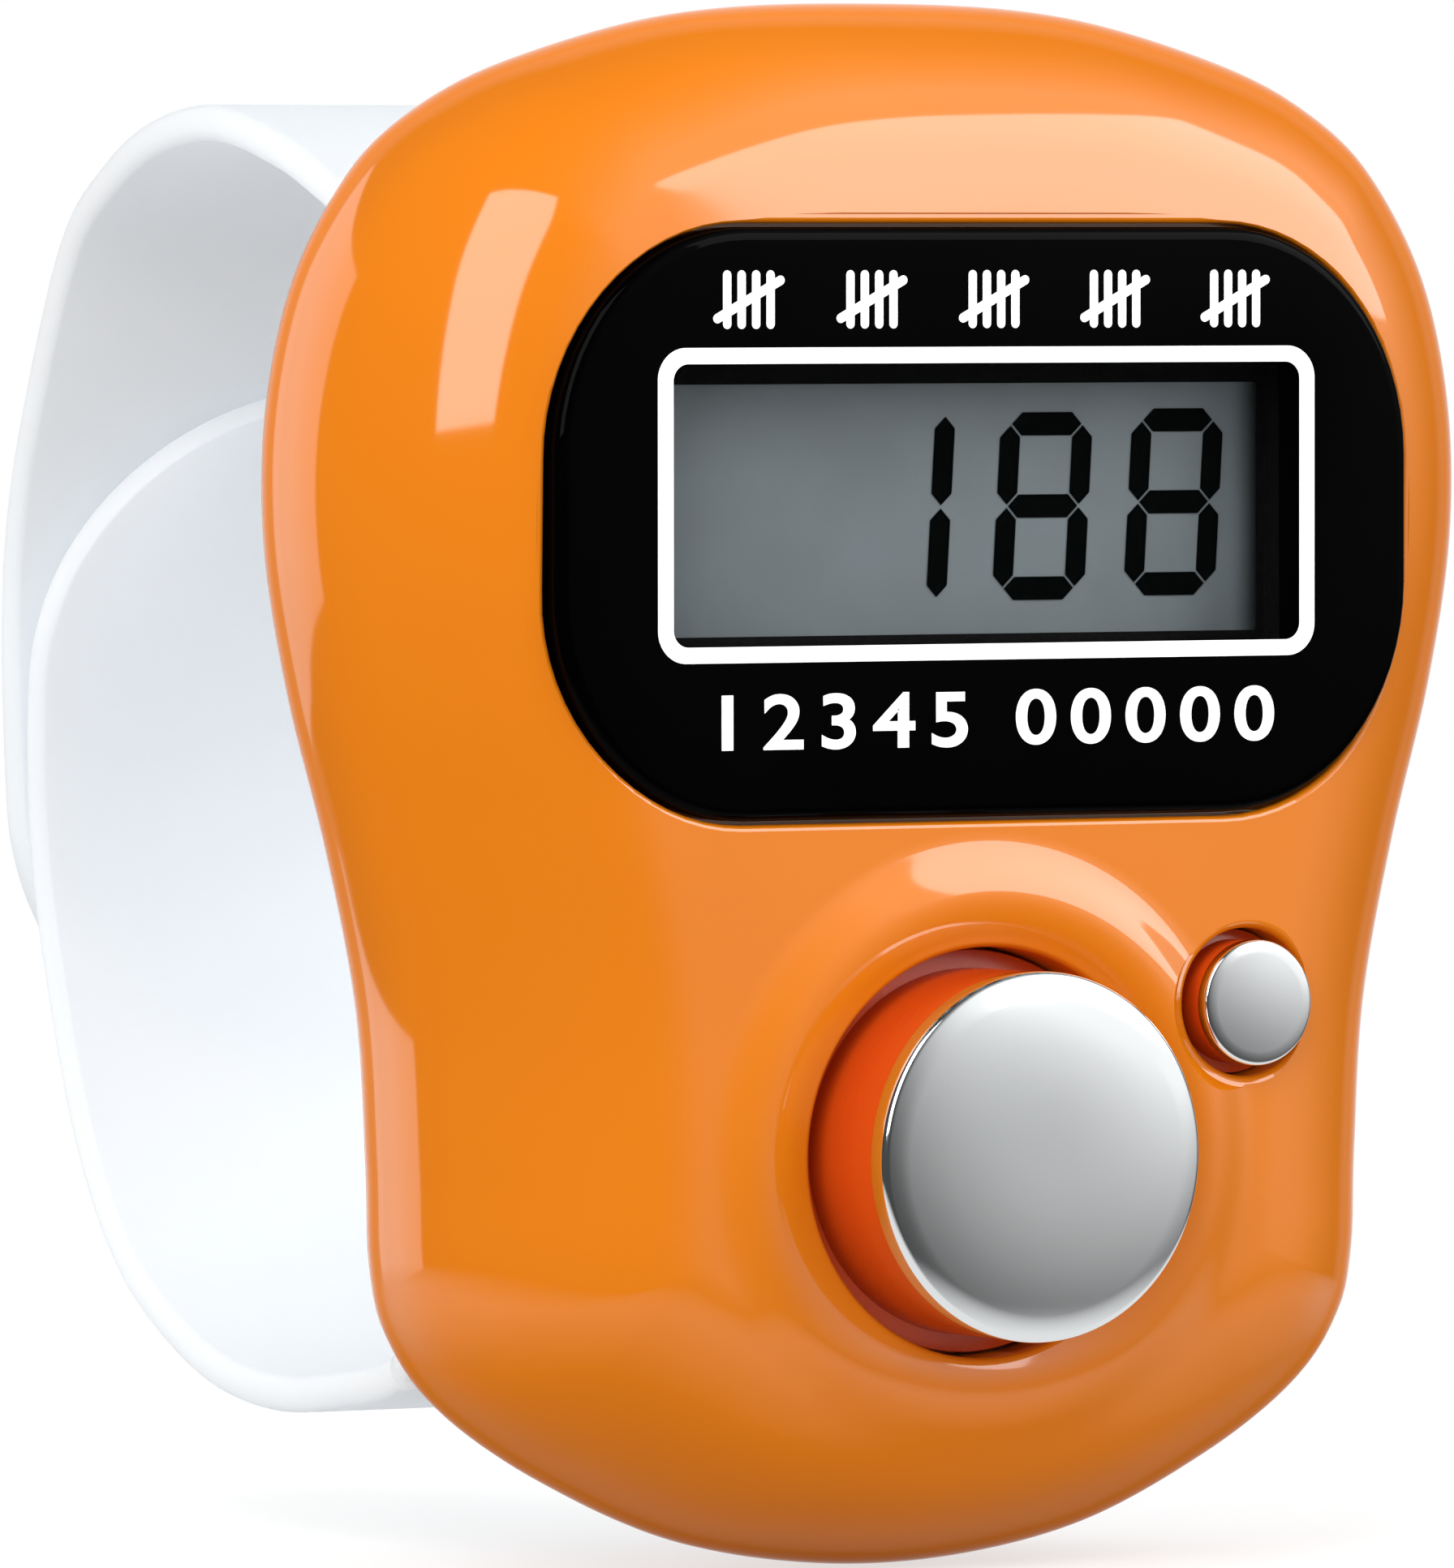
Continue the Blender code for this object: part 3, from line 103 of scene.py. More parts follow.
def make_camera():
    """Stand the camera where the photograph was taken from."""
    forward = Vector((sin(TURN) * cos(DROP), cos(TURN) * cos(DROP),
                      -sin(DROP)))
    level = Vector((cos(TURN), -sin(TURN), 0))
    upright = level.cross(forward)
    right = level * cos(ROLL) + upright * sin(ROLL)
    top = upright * cos(ROLL) - level * sin(ROLL)
    lens = bpy.data.cameras.new("camera")
    lens.sensor_fit = 'VERTICAL'
    lens.sensor_height = 36
    lens.lens = LENS_DOTS * lens.sensor_height / PHOTO_HEIGHT
    lens.clip_start = 0.01
    camera = new_object("camera", lens)
    place = AIM - right * ASIDE - top * RAISE - forward * DISTANCE
    turned = Matrix((right, top, -forward)).transposed().to_4x4()
    camera.matrix_world = Matrix.Translation(place) @ turned
    bpy.context.scene.camera = camera


def softbox(name, turn, climb, width, height, power):
    """Hang one rectangular lamp that faces the counter.

    turn is how far it stands to the right of straight ahead and climb how high, in degrees;
    width and height are in metres and power in watts.
    """
    lamp = bpy.data.lights.new(name, 'AREA')
    lamp.shape = 'RECTANGLE'
    lamp.size = width
    lamp.size_y = height
    lamp.energy = power
    holder = new_object(name, lamp)
    turn, climb = radians(turn), radians(climb)
    away = Vector((sin(turn) * cos(climb), -cos(turn) * cos(climb),
                   sin(climb)))
    holder.location = AIM + away * LAMP_DISTANCE
    holder.rotation_euler = away.to_track_quat('Z', 'Y').to_euler()


# Node materials

def linear(code):
    """Turn an sRGB colour such as e87f23 into linear light."""
    shares = [int(code[k:k + 2], 16) / 255 for k in (0, 2, 4)]
    return [c / 12.92 if c <= 0.04045 else ((c + 0.055) / 1.055) ** 2.4 for c in shares] + [1.0]


def add_node(tree, kind, inputs=None, **settings):
    """Add a node; each input is a value or the output socket that feeds it."""
    node = tree.nodes.new(kind)
    for name, value in settings.items():
        setattr(node, name, value)
    for name, value in (inputs or {}).items():
        if isinstance(value, bpy.types.NodeSocket):
            tree.links.new(value, node.inputs[name])
        else:
            node.inputs[name].default_value = value
    return node


def ramp(tree, value, start, end, low=0.0, high=1.0, easing='LINEAR'):
    """Return low where the value is at start, high at end, and in between what lies between."""
    return add_node(tree, "ShaderNodeMapRange", {
        "Value": value, "From Min": start, "From Max": end, "To Min": low, "To Max": high},
                    interpolation_type=easing).outputs["Result"]


def reckon(tree, operation, first, second, use_clamp=False):
    """Return a sum, a product and the like of two numbers."""
    return add_node(tree, "ShaderNodeMath", {0: first, 1: second}, operation=operation,
                    use_clamp=use_clamp).outputs[0]


def blend(tree, share, first, second):
    """Return the first number where the share is 0 and the second where it is 1."""
    return add_node(tree, "ShaderNodeMix", {0: share, 2: first, 3: second}).outputs[0]


def blend_shaders(tree, share, first, second):
    """Return the first shader where the share is 0 and the second where it is 1."""
    return add_node(tree, "ShaderNodeMixShader", {0: share, 1: first, 2: second}).outputs[0]


def toward_way(tree, way, goal):
    """Return how nearly a direction runs along the goal."""
    return add_node(tree, "ShaderNodeVectorMath", {0: way, 1: goal},
                    operation='DOT_PRODUCT').outputs["Value"]


def own_place(tree):
    """Return the place on the object itself, in metres."""
    return add_node(tree, "ShaderNodeTexCoord").outputs["Object"]


def ray_kinds(tree):
    """Return whether a ray comes from the camera, and whether it was mirrored or refracted."""
    path = add_node(tree, "ShaderNodeLightPath").outputs
    mirrored = reckon(tree, 'ADD', path["Is Glossy Ray"], path["Is Transmission Ray"],
                      use_clamp=True)
    return path["Is Camera Ray"], mirrored


def moulded(name, light, dark, patch_mm, roughness, rough_spread, relief_mm, relief_um,
            levels=None):
    """A surface whose colour, gloss and relief drift a little from place to place.

    patch_mm is the size of the colour patches and relief_mm that of the bumps, which are
    relief_um thousandths of a millimetre high. levels holds further settings of the shader.
    """
    material = bpy.data.materials.new(name)
    material.use_nodes = True
    tree, shader = nodes_of(material)
    place = own_place(tree)
    patches = add_node(tree, "ShaderNodeTexNoise", {
        "Vector": place, "Scale": 1 / (patch_mm * MM), "Detail": 2.0}).outputs["Fac"]
    colour = add_node(tree, "ShaderNodeMixRGB", {
        "Fac": patches, "Color1": linear(light), "Color2": linear(dark)})
    tree.links.new(colour.outputs["Color"], shader.inputs["Base Color"])
    rough = ramp(tree, patches, 0.3, 0.7, roughness - rough_spread, roughness + rough_spread)
    tree.links.new(rough, shader.inputs["Roughness"])
    grain = add_node(tree, "ShaderNodeTexNoise", {
        "Vector": place, "Scale": 1 / (relief_mm * MM), "Detail": 2.0}).outputs["Fac"]
    bump = add_node(tree, "ShaderNodeBump", {
        "Height": grain, "Strength": 1.0, "Distance": relief_um * MM / 1000})
    tree.links.new(bump.outputs["Normal"], shader.inputs["Normal"])
    for level, value in (levels or {}).items():
        shader.inputs[level].default_value = value
    return material


def nodes_of(material):
    """Return a material's node tree and its main shader."""
    return material.node_tree, material.node_tree.nodes["Principled BSDF"]


def tint(material, share, code):
    """Lay a second colour over a material's own, fully where the share is 1."""
    tree, shader = nodes_of(material)
    own = shader.inputs["Base Color"].links[0].from_socket
    colour = add_node(tree, "ShaderNodeMixRGB", {
        "Fac": share, "Color1": own, "Color2": linear(code)}).outputs["Color"]
    tree.links.new(colour, shader.inputs["Base Color"])


def show_shader(material, shader):
    """Let a material show the given shader."""
    output = material.node_tree.nodes["Material Output"]
    material.node_tree.links.new(shader, output.inputs["Surface"])


# Case form

CASE_WIDTH = 34.8
CASE_HEIGHT = 42.0
CASE_DEPTH = 12.6
EDGE_REACH = 5.7            # how far in from the outline the rounded edge runs
SEAM = 9.6                  # depth where the front shell ends
OUTLINE_POINTS = 288
HOLE_UP = -9.7              # middle of the count button
HOLE_RADIUS = 5.45
MOUND_RADIUS = 8.4          # foot of the raised ring round the count button
CREST_RADIUS = 6.8
MOUND_HEIGHT = 0.5
MOUND_DIP = 0.4

# Right half of the case outline, as shares of half its width and height
OUTLINE_SHARES = [
    (0.000, 0.990), (0.320, 0.977), (0.590, 0.922), (0.745, 0.863), (0.850, 0.786),
    (0.945, 0.650), (0.994, 0.480), (0.997, 0.300), (0.957, 0.110), (0.890, -0.090),
    (0.838, -0.290), (0.822, -0.480), (0.816, -0.610), (0.788, -0.705), (0.705, -0.798),
    (0.540, -0.888), (0.300, -0.970), (0.000, -1.000),
]


def smooth_line(points, closed, steps):
    """Return points on one smooth curve through the given ones."""
    if closed:
        line = points[-1:] + points + points[:2]
    else:
        line = points[:1] + points + points[-1:]
    result = []
    for before, start, end, after in zip(line, line[1:], line[2:], line[3:]):
        for step in range(steps):
            t = step / steps
            result.append(0.5 * (2 * start + (end - before) * t
                                 + (2 * before - 5 * start + 4 * end - after) * t ** 2
                                 + (3 * start - before - 3 * end + after) * t ** 3))
    return result if closed else result + [points[-1]]


def line_lengths(line):
    """Return how far along a line each of its points lies."""
    lengths = [0.0]
    for first, second in zip(line, line[1:]):
        lengths.append(lengths[-1] + (second - first).length)
    return lengths


def walk(lengths, goals):
    """Return for each goal along a line the span that it falls on, and its share of the span."""
    result = []
    span = 0
    for goal in goals:
        while span < len(lengths) - 2 and lengths[span + 1] < goal:
            span += 1
        result.append((span, (goal - lengths[span]) / (lengths[span + 1] - lengths[span])))
    return result


def even_line(points, count):
    """Return count points at equal steps round a closed line of points."""
    line = points + [points[0]]
    lengths = line_lengths(line)
    goals = [lengths[-1] * index / count for index in range(count)]
    return [line[span].lerp(line[span + 1], share) for span, share in walk(lengths, goals)]


def case_outline():
    """Return the outline of the case, clockwise from its top, and its inward normals."""
    right = [Vector((x * CASE_WIDTH / 2, up * CASE_HEIGHT / 2)) for x, up in OUTLINE_SHARES]
    left = [Vector((-point.x, point.y)) for point in reversed(right[1:-1])]
    points = even_line(smooth_line(right + left, True, 24), OUTLINE_POINTS)
    normals = []
    for index, point in enumerate(points):
        along = points[(index + 1) % len(points)] - points[index - 1]
        normals.append(Vector((along.y, -along.x)).normalized())
    return points, normals


OUTLINE, OUTLINE_NORMALS = case_outline()


def outline_ring(inset, depth):
    """Return the case outline moved in by inset, at one depth."""
    return [Vector((point.x + normal.x * inset, depth, point.y + normal.y * inset))
            for point, normal in zip(OUTLINE, OUTLINE_NORMALS)]


def seam_place(depth):
    """Return how far round the edge a depth near the seam lies, in degrees, and its inset."""
    middle = CASE_DEPTH / 2
    turn = asin((depth - middle) / middle)
    return turn * 180 / pi, EDGE_REACH * (1 - cos(turn))


def edge_ring(degrees, front):
    """Return a ring of the rounded edge; 90 degrees is the face and 0 the middle depth."""
    angle = radians(degrees)
    reach = CASE_DEPTH / 2 * sin(angle)
    depth = CASE_DEPTH / 2 - reach if front else CASE_DEPTH / 2 + reach
    return outline_ring(EDGE_REACH * (1 - cos(angle)), depth)


def mound(x, up):
    """Return how far the raised ring stands in front of the flat face at a place.

    The ring is fullest at the upper right and softest at the lower left.
    """
    radius = hypot(x, up - HOLE_UP)
    if radius >= MOUND_RADIUS:
        return 0.0
    full = 0.66 + 0.34 * cos(atan2(up - HOLE_UP, x) - radians(50))
    if radius >= CREST_RADIUS:
        share = (radius - CREST_RADIUS) / (MOUND_RADIUS - CREST_RADIUS)
        return full * MOUND_HEIGHT * (1 + cos(pi * share)) / 2
    share = (CREST_RADIUS - radius) / (CREST_RADIUS - HOLE_RADIUS)
    return full * (MOUND_HEIGHT - MOUND_DIP * min(share, 1.0) ** 2)


def toward(ring, centre, radius, share):
    """Return a ring moved the given share of the way from a circle out to the given ring."""
    result = []
    for point in ring:
        away = point.xz - Vector(centre)
        moved = (away.normalized() * radius).lerp(away, share) + Vector(centre)
        result.append(Vector((moved.x, point.y, moved.y)))
    return result


def rings_between(outer, inner, count):
    """Return count rings on the way from one ring to another, which is the last of them."""
    return [[first.lerp(last, step / count) for first, last in zip(outer, inner)]
            for step in range(1, count + 1)]


def circle_ring(ring, centre, radius, depth):
    """Return a circle whose points face those of the given ring."""
    return [Vector((point.x, depth, point.z)) for point in toward(ring, centre, radius, 0.0)]


def ring_surface(name, rings, material, closed=True):
    """Make an object whose skin runs through rings of equal length, in millimetres."""
    count = len(rings[0])
    points = [spot(*point) for ring in rings for point in ring]
    faces = []
    last = len(rings) if closed else len(rings) - 1
    for row in range(last):
        first, second = row * count, (row + 1) % len(rings) * count
        for index in range(count):
            after = (index + 1) % count
            faces.append((first + index, first + after, second + after, second + index))
    if not closed:
        faces.append(tuple(reversed(range(count))))
        faces.append(tuple(range((len(rings) - 1) * count, len(rings) * count)))
    piece = mesh_object(name, points, [], faces)
    piece.data.validate()
    shape = bmesh.new()
    shape.from_mesh(piece.data)
    bmesh.ops.recalc_face_normals(shape, faces=shape.faces)
    shape.to_mesh(piece.data)
    shape.free()
    piece.data.materials.append(material)
    return piece


def plug(rings, material):
    """Make a solid through rings, to cut away from a piece or to keep part of one."""
    return ring_surface("plug", rings, material, closed=False)


# Work on one object at a time

def alone(piece):
    """Select one object and nothing else."""
    bpy.ops.object.select_all(action='DESELECT')
    piece.select_set(True)
    bpy.context.view_layer.objects.active = piece


def edit_all(piece):
    """Open a piece's mesh for editing, with all of it selected."""
    alone(piece)
    bpy.ops.object.mode_set(mode='EDIT')
    bpy.ops.mesh.select_all(action='SELECT')


def close_edit(piece, material):
    """Turn the faces of the edited mesh outwards, close it and give it its material."""
    bpy.ops.mesh.select_all(action='SELECT')
    bpy.ops.mesh.normals_make_consistent(inside=False)
    bpy.ops.object.mode_set(mode='OBJECT')
    piece.data.materials.append(material)


def fix_place(piece):
    """Move an object's place, turn and size into its mesh."""
    alone(piece)
    bpy.ops.object.transform_apply(location=True, rotation=True, scale=True)


def smooth(piece, degrees=35):
    """Shade a piece smooth, but keep edges sharper than the given angle."""
    alone(piece)
    bpy.ops.object.shade_smooth_by_angle(angle=radians(degrees))


def cut(piece, tool, operation='DIFFERENCE'):
    """Cut a piece with a tool, or join the tool to it, and throw the tool away."""
    modifier = piece.modifiers.new("cut", 'BOOLEAN')
    modifier.operation = operation
    modifier.solver = 'EXACT'
    modifier.object = tool
    alone(piece)
    bpy.ops.object.modifier_apply(modifier=modifier.name)
    bpy.data.objects.remove(tool)


def block(x, depth, up, sizes, turn=0.0):
    """Make a block with sizes along x, depth and up, turned about the depth."""
    bpy.ops.mesh.primitive_cube_add(size=1, location=spot(x, depth, up), rotation=(0, turn, 0),
                                    scale=[size * MM for size in sizes])
    made = bpy.context.active_object
    fix_place(made)
    return made


def dress(piece, body, slot, *nodes):
    """Let a piece ride on a body and hide the solids it stands for; the finish's slot is not used.
    """
    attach(piece, body)
    if nodes:
        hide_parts(*nodes)


def turned_piece(name, profile, centre, material, steps=96):
    """Spin a profile of (radius, depth) points about an axis along the depth."""
    x, up = centre
    points = [spot(x + radius, depth, up) for radius, depth in profile]
    piece = mesh_object(name, points, [(k, k + 1) for k in range(len(points) - 1)], [])
    edit_all(piece)
    bpy.ops.mesh.spin(steps=steps, angle=2 * pi, center=spot(x, 0, up), axis=(0, 1, 0))
    bpy.ops.mesh.select_all(action='SELECT')
    bpy.ops.mesh.remove_doubles(threshold=0.001 * MM)
    close_edit(piece, material)
    return piece


def arc(centre, radius, start, end, steps):
    """Return points on an arc, as (radius, depth) pairs; angles in degrees from outwards."""
    result = []
    for step in range(steps + 1):
        angle = radians(start + (end - start) * step / steps)
        result.append((centre[0] + radius * cos(angle),
                       centre[1] + radius * sin(angle)))
    return result


# Case

SEAM_ROUND = 0.08           # worn edge along the seam
VISIBLE_SEAM = 0.06         # hairline between the two shells
HOLE_LIP = 0.22
FRONT_WALL = 2.0
BACK_INNER = 11.2
SIDE_INSET = 2.2            # from the outline to the inside of the side wall
FACE_INSET = 3.2            # from the outline to where the inside turns flat
SIDE_TOP = 4.0              # depth where the inside of the side wall begins
LENS_SIZE = (26.3, 15.6)
LENS_CORNER = (5.7, 6.1)
LENS_UP = 7.0
LENS_FRONT = -0.2
LENS_BACK = 0.8
SEAT_GAP = 0.10             # between the lens and its seat
SEAT_LIP = 0.22
RESET_PLACE = (8.2, -5.9)
RESET_HOLE = 1.98
SCREW_PLACES = [(13.0, 12.39), (-13.0, 12.39), (11.0, -12.2), (-11.0, -12.2)]
DOOR_HOLE = 6.62
DOOR_LIP = 0.15
LUG_REACH = 7.5             # from the middle of the door to the end of a lug
LUG_WIDTH = 3.0
PEG_UP = 11.3


def outline_tree():
    """Return a search tree of close points along the case outline."""
    points = even_line(OUTLINE, 3000)
    tree = kdtree.KDTree(len(points))
    for index, point in enumerate(points):
        tree.insert((point.x, point.y, 0), index)
    tree.balance()
    return tree


OUTLINE_TREE = outline_tree()


def face_depth(x, up):
    """Return the depth of the front of the case at a place."""
    inset = OUTLINE_TREE.find((x, up, 0))[2]
    if inset >= EDGE_REACH:
        return -mound(x, up)
    lean = 1 - inset / EDGE_REACH
    return CASE_DEPTH / 2 * (1 - sqrt(1 - lean ** 2)) - mound(x, up)


def corner_line(width, height, corner, x=0.0, up=0.0, steps=16):
    """Return (x, up) points round a rectangle with rounded corners."""
    result = []
    for quarter in range(4):
        for step in range(steps + 1):
            angle = pi / 2 * (quarter + step / steps)
            right = width / 2 - corner[0] if quarter in (0, 3) else corner[0] - width / 2
            top = height / 2 - corner[1] if quarter in (0, 1) else corner[1] - height / 2
            result.append((x + right + corner[0] * cos(angle),
                           up + top + corner[1] * sin(angle)))
    return result


def raised(line, depth):
    """Put a line of (x, up) points at one depth."""
    return [Vector((x, depth, up)) for x, up in line]


def on_face(line, step):
    """Put a line of (x, up) points a step behind the front of the case."""
    return [Vector((x, face_depth(x, up) + step, up)) for x, up in line]


def lip_steps(radius, start=20):
    """Return (outward, inward) steps of a rounded lip, from the face into the hole."""
    steps = []
    for degrees in range(start, 91, 14):
        angle = radians(degrees)
        steps.append((radius * (1 - sin(angle)), radius * (1 - cos(angle))))
    return steps


def lens_line(grow):
    """Return the outline of the lens, moved out by grow."""
    return corner_line(LENS_SIZE[0] + 2 * grow, LENS_SIZE[1] + 2 * grow,
                       (LENS_CORNER[0] + grow, LENS_CORNER[1] + grow), up=LENS_UP)


def window_line(width, height, corner, up=7.4):
    """Return a rectangle with rounded corners about the middle of the display window."""
    return corner_line(width, height, (corner, corner), 0.3, up, 4)


def case_front_rings():
    """Return the rings of the front shell, from the seam over the face and back inside."""
    seam_turn, seam_inset = seam_place(SEAM)
    rings = [outline_ring(seam_inset + SEAM_ROUND, SEAM),
             outline_ring(seam_inset + SEAM_ROUND * 0.3, SEAM - SEAM_ROUND * 0.3),
             outline_ring(seam_inset - SEAM_ROUND * 0.4, SEAM - SEAM_ROUND)]
    turns = [-seam_turn * share for share in (0.93, 0.75, 0.55, 0.35, 0.17)]
    turns += [4.5 * step for step in range(17)]
    rings += [edge_ring(degrees, True) for degrees in turns]
    rim = rings[-1]
    centre = (0, HOLE_UP)
    start = HOLE_RADIUS + HOLE_LIP
    middle_ring = []
    for point in rim:
        away = hypot(point.x, point.z - HOLE_UP)
        bound = min(MOUND_RADIUS + 0.3, start + 0.62 * (away - start))
        middle_ring.append(Vector((point.x * bound / away, 0,
                                   HOLE_UP + (point.z - HOLE_UP) * bound / away)))
    rings += rings_between(rim, middle_ring, 12)
    rings += rings_between(middle_ring, circle_ring(rim, centre, start, 0), 18)
    for ring in rings[len(turns) - 2:]:
        for point in ring:
            point.y = face_depth(point.x, point.z)
    edge = [point.y for point in rings[-1]]
    for out, down in lip_steps(HOLE_LIP):
        ring = circle_ring(rim, centre, HOLE_RADIUS + out, 0)
        for point, depth in zip(ring, edge):
            point.y = depth + down
        rings.append(ring)
    return rings + [circle_ring(rim, centre, HOLE_RADIUS, FRONT_WALL),
                    outline_ring(FACE_INSET, FRONT_WALL), outline_ring(SIDE_INSET, SIDE_TOP),
                    outline_ring(SIDE_INSET, SEAM)]


def make_case_front(orange):
    """The front shell: face, raised ring, lens seat, display window and button holes."""
    piece = ring_surface("case_front", case_front_rings(), orange)
    smooth(piece, 40)
    whole = piece.data.copy()

    seat = [on_face(lens_line(0.75), -0.6), on_face(lens_line(SEAT_GAP + SEAT_LIP * 1.1), -0.02)]
    seat += [on_face(lens_line(SEAT_GAP + out), down) for out, down in lip_steps(SEAT_LIP)]
    seat.append(raised(lens_line(SEAT_GAP), LENS_BACK + 0.12))
    cut(piece, plug(seat, orange))
    window = window_line(20.2, 8.3, 0.7)
    cut(piece, plug([raised(window, 0.5), raised(window, 3.5)], orange))
    dish = [(0, -0.8), (RESET_HOLE + 0.9, -0.8), (RESET_HOLE + 0.30, -0.02)]
    dish += [(RESET_HOLE + out, down) for out, down in lip_steps(0.27)]
    dish += [(RESET_HOLE, 3.5), (0, 3.5)]
    cut(piece, turned_piece("dish_tool", dish, RESET_PLACE, orange))
    keep_curves(piece, whole)
    dress(piece, "case", "orange_case", "front_shell")


def keep_curves(piece, whole):
    """Give the cut shell the smooth light of the whole one, so that no cut edge dents it."""
    whole.calc_loop_triangles()
    points = [vertex.co.copy() for vertex in whole.vertices]
    triangles = [tuple(triangle.vertices) for triangle in whole.loop_triangles]
    lights = [vertex.normal.copy() for vertex in whole.vertices]
    tree = bvhtree.BVHTree.FromPolygons(points, triangles)
    mesh = piece.data
    normals = []
    corner_normals = mesh.corner_normals
    for polygon in mesh.polygons:
        for loop_index in polygon.loop_indices:
            place = mesh.vertices[mesh.loops[loop_index].vertex_index].co
            own = corner_normals[loop_index].vector.copy()
            near, flat, index, distance = tree.find_nearest(place)
            kept = distance < 0.004 * MM and polygon.normal.dot(flat) > 0.9
            if kept and polygon.normal.y < 0.3:
                a, b, c = triangles[index]
                own = interpolate_light(near, (points[a], points[b], points[c]),
                                        (lights[a], lights[b], lights[c]))
            normals.append(own)
    mesh.normals_split_custom_set(normals)


def interpolate_light(place, corners, lights):
    """Blend the light directions of a triangle's corners at a place on it."""
    shares = interpolate.poly_3d_calc(corners, place)
    return sum((light * share for share, light in zip(shares, lights)), Vector()).normalized()


def case_back_rings():
    """Return the rings of the back cover, from the seam over the back and inside again."""
    start = SEAM + VISIBLE_SEAM
    seam_turn, seam_inset = seam_place(start)
    rings = [outline_ring(seam_inset + SEAM_ROUND, start),
             outline_ring(seam_inset + SEAM_ROUND * 0.4, start + SEAM_ROUND * 0.3),
             outline_ring(seam_inset + SEAM_ROUND * 0.5, start + SEAM_ROUND)]
    rings += [edge_ring(seam_turn + (90 - seam_turn) * step / 14, False) for step in range(1, 15)]
    rim = rings[-1]
    rings += [toward(rim, (0, 0), DOOR_HOLE + DOOR_LIP, share)
              for share in (0.8, 0.6, 0.4, 0.2, 0.08)]
    rings += [circle_ring(rim, (0, 0), DOOR_HOLE + out, CASE_DEPTH - down)
              for out, down in lip_steps(DOOR_LIP, 0)]
    return rings + [circle_ring(rim, (0, 0), DOOR_HOLE, BACK_INNER),
                    outline_ring(FACE_INSET, BACK_INNER), outline_ring(SIDE_INSET, start + 0.5),
                    outline_ring(SIDE_INSET, start)]


def bore(piece, place, radius, front, back, sides=48):
    """Drill a round hole between two depths."""
    x, up = place
    bpy.ops.mesh.primitive_cylinder_add(
        vertices=sides, radius=radius * MM, depth=(back - front) * MM,
        location=spot(x, (front + back) / 2, up), rotation=(pi / 2, 0, 0))
    cut(piece, bpy.context.active_object)


def back_form(orange):
    """Return a solid that fills the back of the case, a hair inside its skin."""
    rings = [outline_ring(1.2, SEAM + 0.3)]
    for degrees in range(30, 91, 6):
        rings.append([point - Vector((0, 0.04, 0)) for point in edge_ring(degrees, False)])
    return plug(rings, orange)


def make_case_back(orange):
    """The back cover with its screw wells, its peg holes and the notches for the door."""
    piece = ring_surface("case_back", case_back_rings(), orange)
    for up in (PEG_UP, -PEG_UP):
        bore(piece, (0, up), 1.3, BACK_INNER - 1, CASE_DEPTH + 1)
    cut(piece, block(0, 12, 0, (2 * LUG_REACH + 0.6, 3.0, LUG_WIDTH + 0.6), pi / 4))
    wells = []
    for place in SCREW_PLACES:
        bore(piece, place, 1.5, BACK_INNER - 0.3, CASE_DEPTH + 1)
        cup = [(1.49, BACK_INNER + 0.2), (1.49, 10.8), (0.75, 10.8), (0.75, SEAM + 0.3),
               (1.9, SEAM + 0.3), (1.9, BACK_INNER + 0.2), (1.49, BACK_INNER + 0.2)]
        well = turned_piece("well", cup, place, orange, 48)
        cut(well, back_form(orange), 'INTERSECT')
        wells.append(well)
    alone(piece)
    for well in wells:
        well.select_set(True)
    bpy.ops.object.join()
    smooth(piece, 32)
    dress(piece, "case", "orange_case", "back_cover")


# Display

PRINT_THICKNESS = 0.015
WINDOW_CENTRE = (0.0, 7.5)
FRAME_OUTER = (20.3, 8.27)
FRAME_INNER = (19.36, 7.42)
MASK_OPENING = (19.1, 6.66)
DIGIT_DEPTH = 2.27
DIGIT_WIDTH = 2.87
DIGIT_HEIGHT = 5.0
DIGIT_STROKE = 0.62
DIGIT_GAP = 0.045
DIGIT_SLANT = tan(radians(3.5))
DIGITS = [("1", -1.14, 7.37), ("8", 3.155, 7.37), ("8", 7.268, 7.45)]


def make_lens(black, clear):
    """The lens: black acrylic with a softly rounded rim and a clear field over the display."""
    rings = [raised(lens_line(0), LENS_BACK)]
    for degrees in range(0, 91, 15):
        angle = radians(degrees)
        rings.append(raised(lens_line(-0.35 * (1 - cos(angle))),
                            LENS_FRONT + 0.3 * (1 - sin(angle))))
    piece = ring_surface("lens", rings, black, closed=False)
    piece.data.materials.append(clear)
    edit_all(piece)
    centre_x, centre_up = WINDOW_CENTRE
    for side in (-1, 1):
        for place, direction in (((centre_x + side * FRAME_INNER[0] / 2, 0, 0), (1, 0, 0)),
                                 ((0, 0, centre_up + side * FRAME_INNER[1] / 2), (0, 0, 1))):
            bpy.ops.mesh.select_all(action='SELECT')
            bpy.ops.mesh.bisect(plane_co=spot(*place), plane_no=direction)
    bpy.ops.object.mode_set(mode='OBJECT')
    for polygon in piece.data.polygons:
        place = polygon.center / MM
        level = abs(polygon.normal.y) > 0.99
        inside = (abs(place.x - centre_x) < FRAME_INNER[0] / 2
                  and abs(place.z - MIDDLE_Z - centre_up) < FRAME_INNER[1] / 2)
        polygon.material_index = 1 if level and inside else 0
    smooth(piece, 40)
    dress(piece, "case", "lens", "display_lens")


def flat_print(name, outlines, depth, thickness, material):
    """Print closed outlines of (x, up) points as one thin raised layer."""
    points = []
    faces = []
    for outline in outlines:
        first = len(points)
        points += [spot(x, depth, up) for x, up in outline]
        faces.append(tuple(range(first, first + len(outline))))
    piece = mesh_object(name, points, [], faces)
    edit_all(piece)
    bpy.ops.mesh.extrude_region_move(
        TRANSFORM_OT_translate={"value": (0, -thickness * MM, 0)})
    close_edit(piece, material)
    return piece


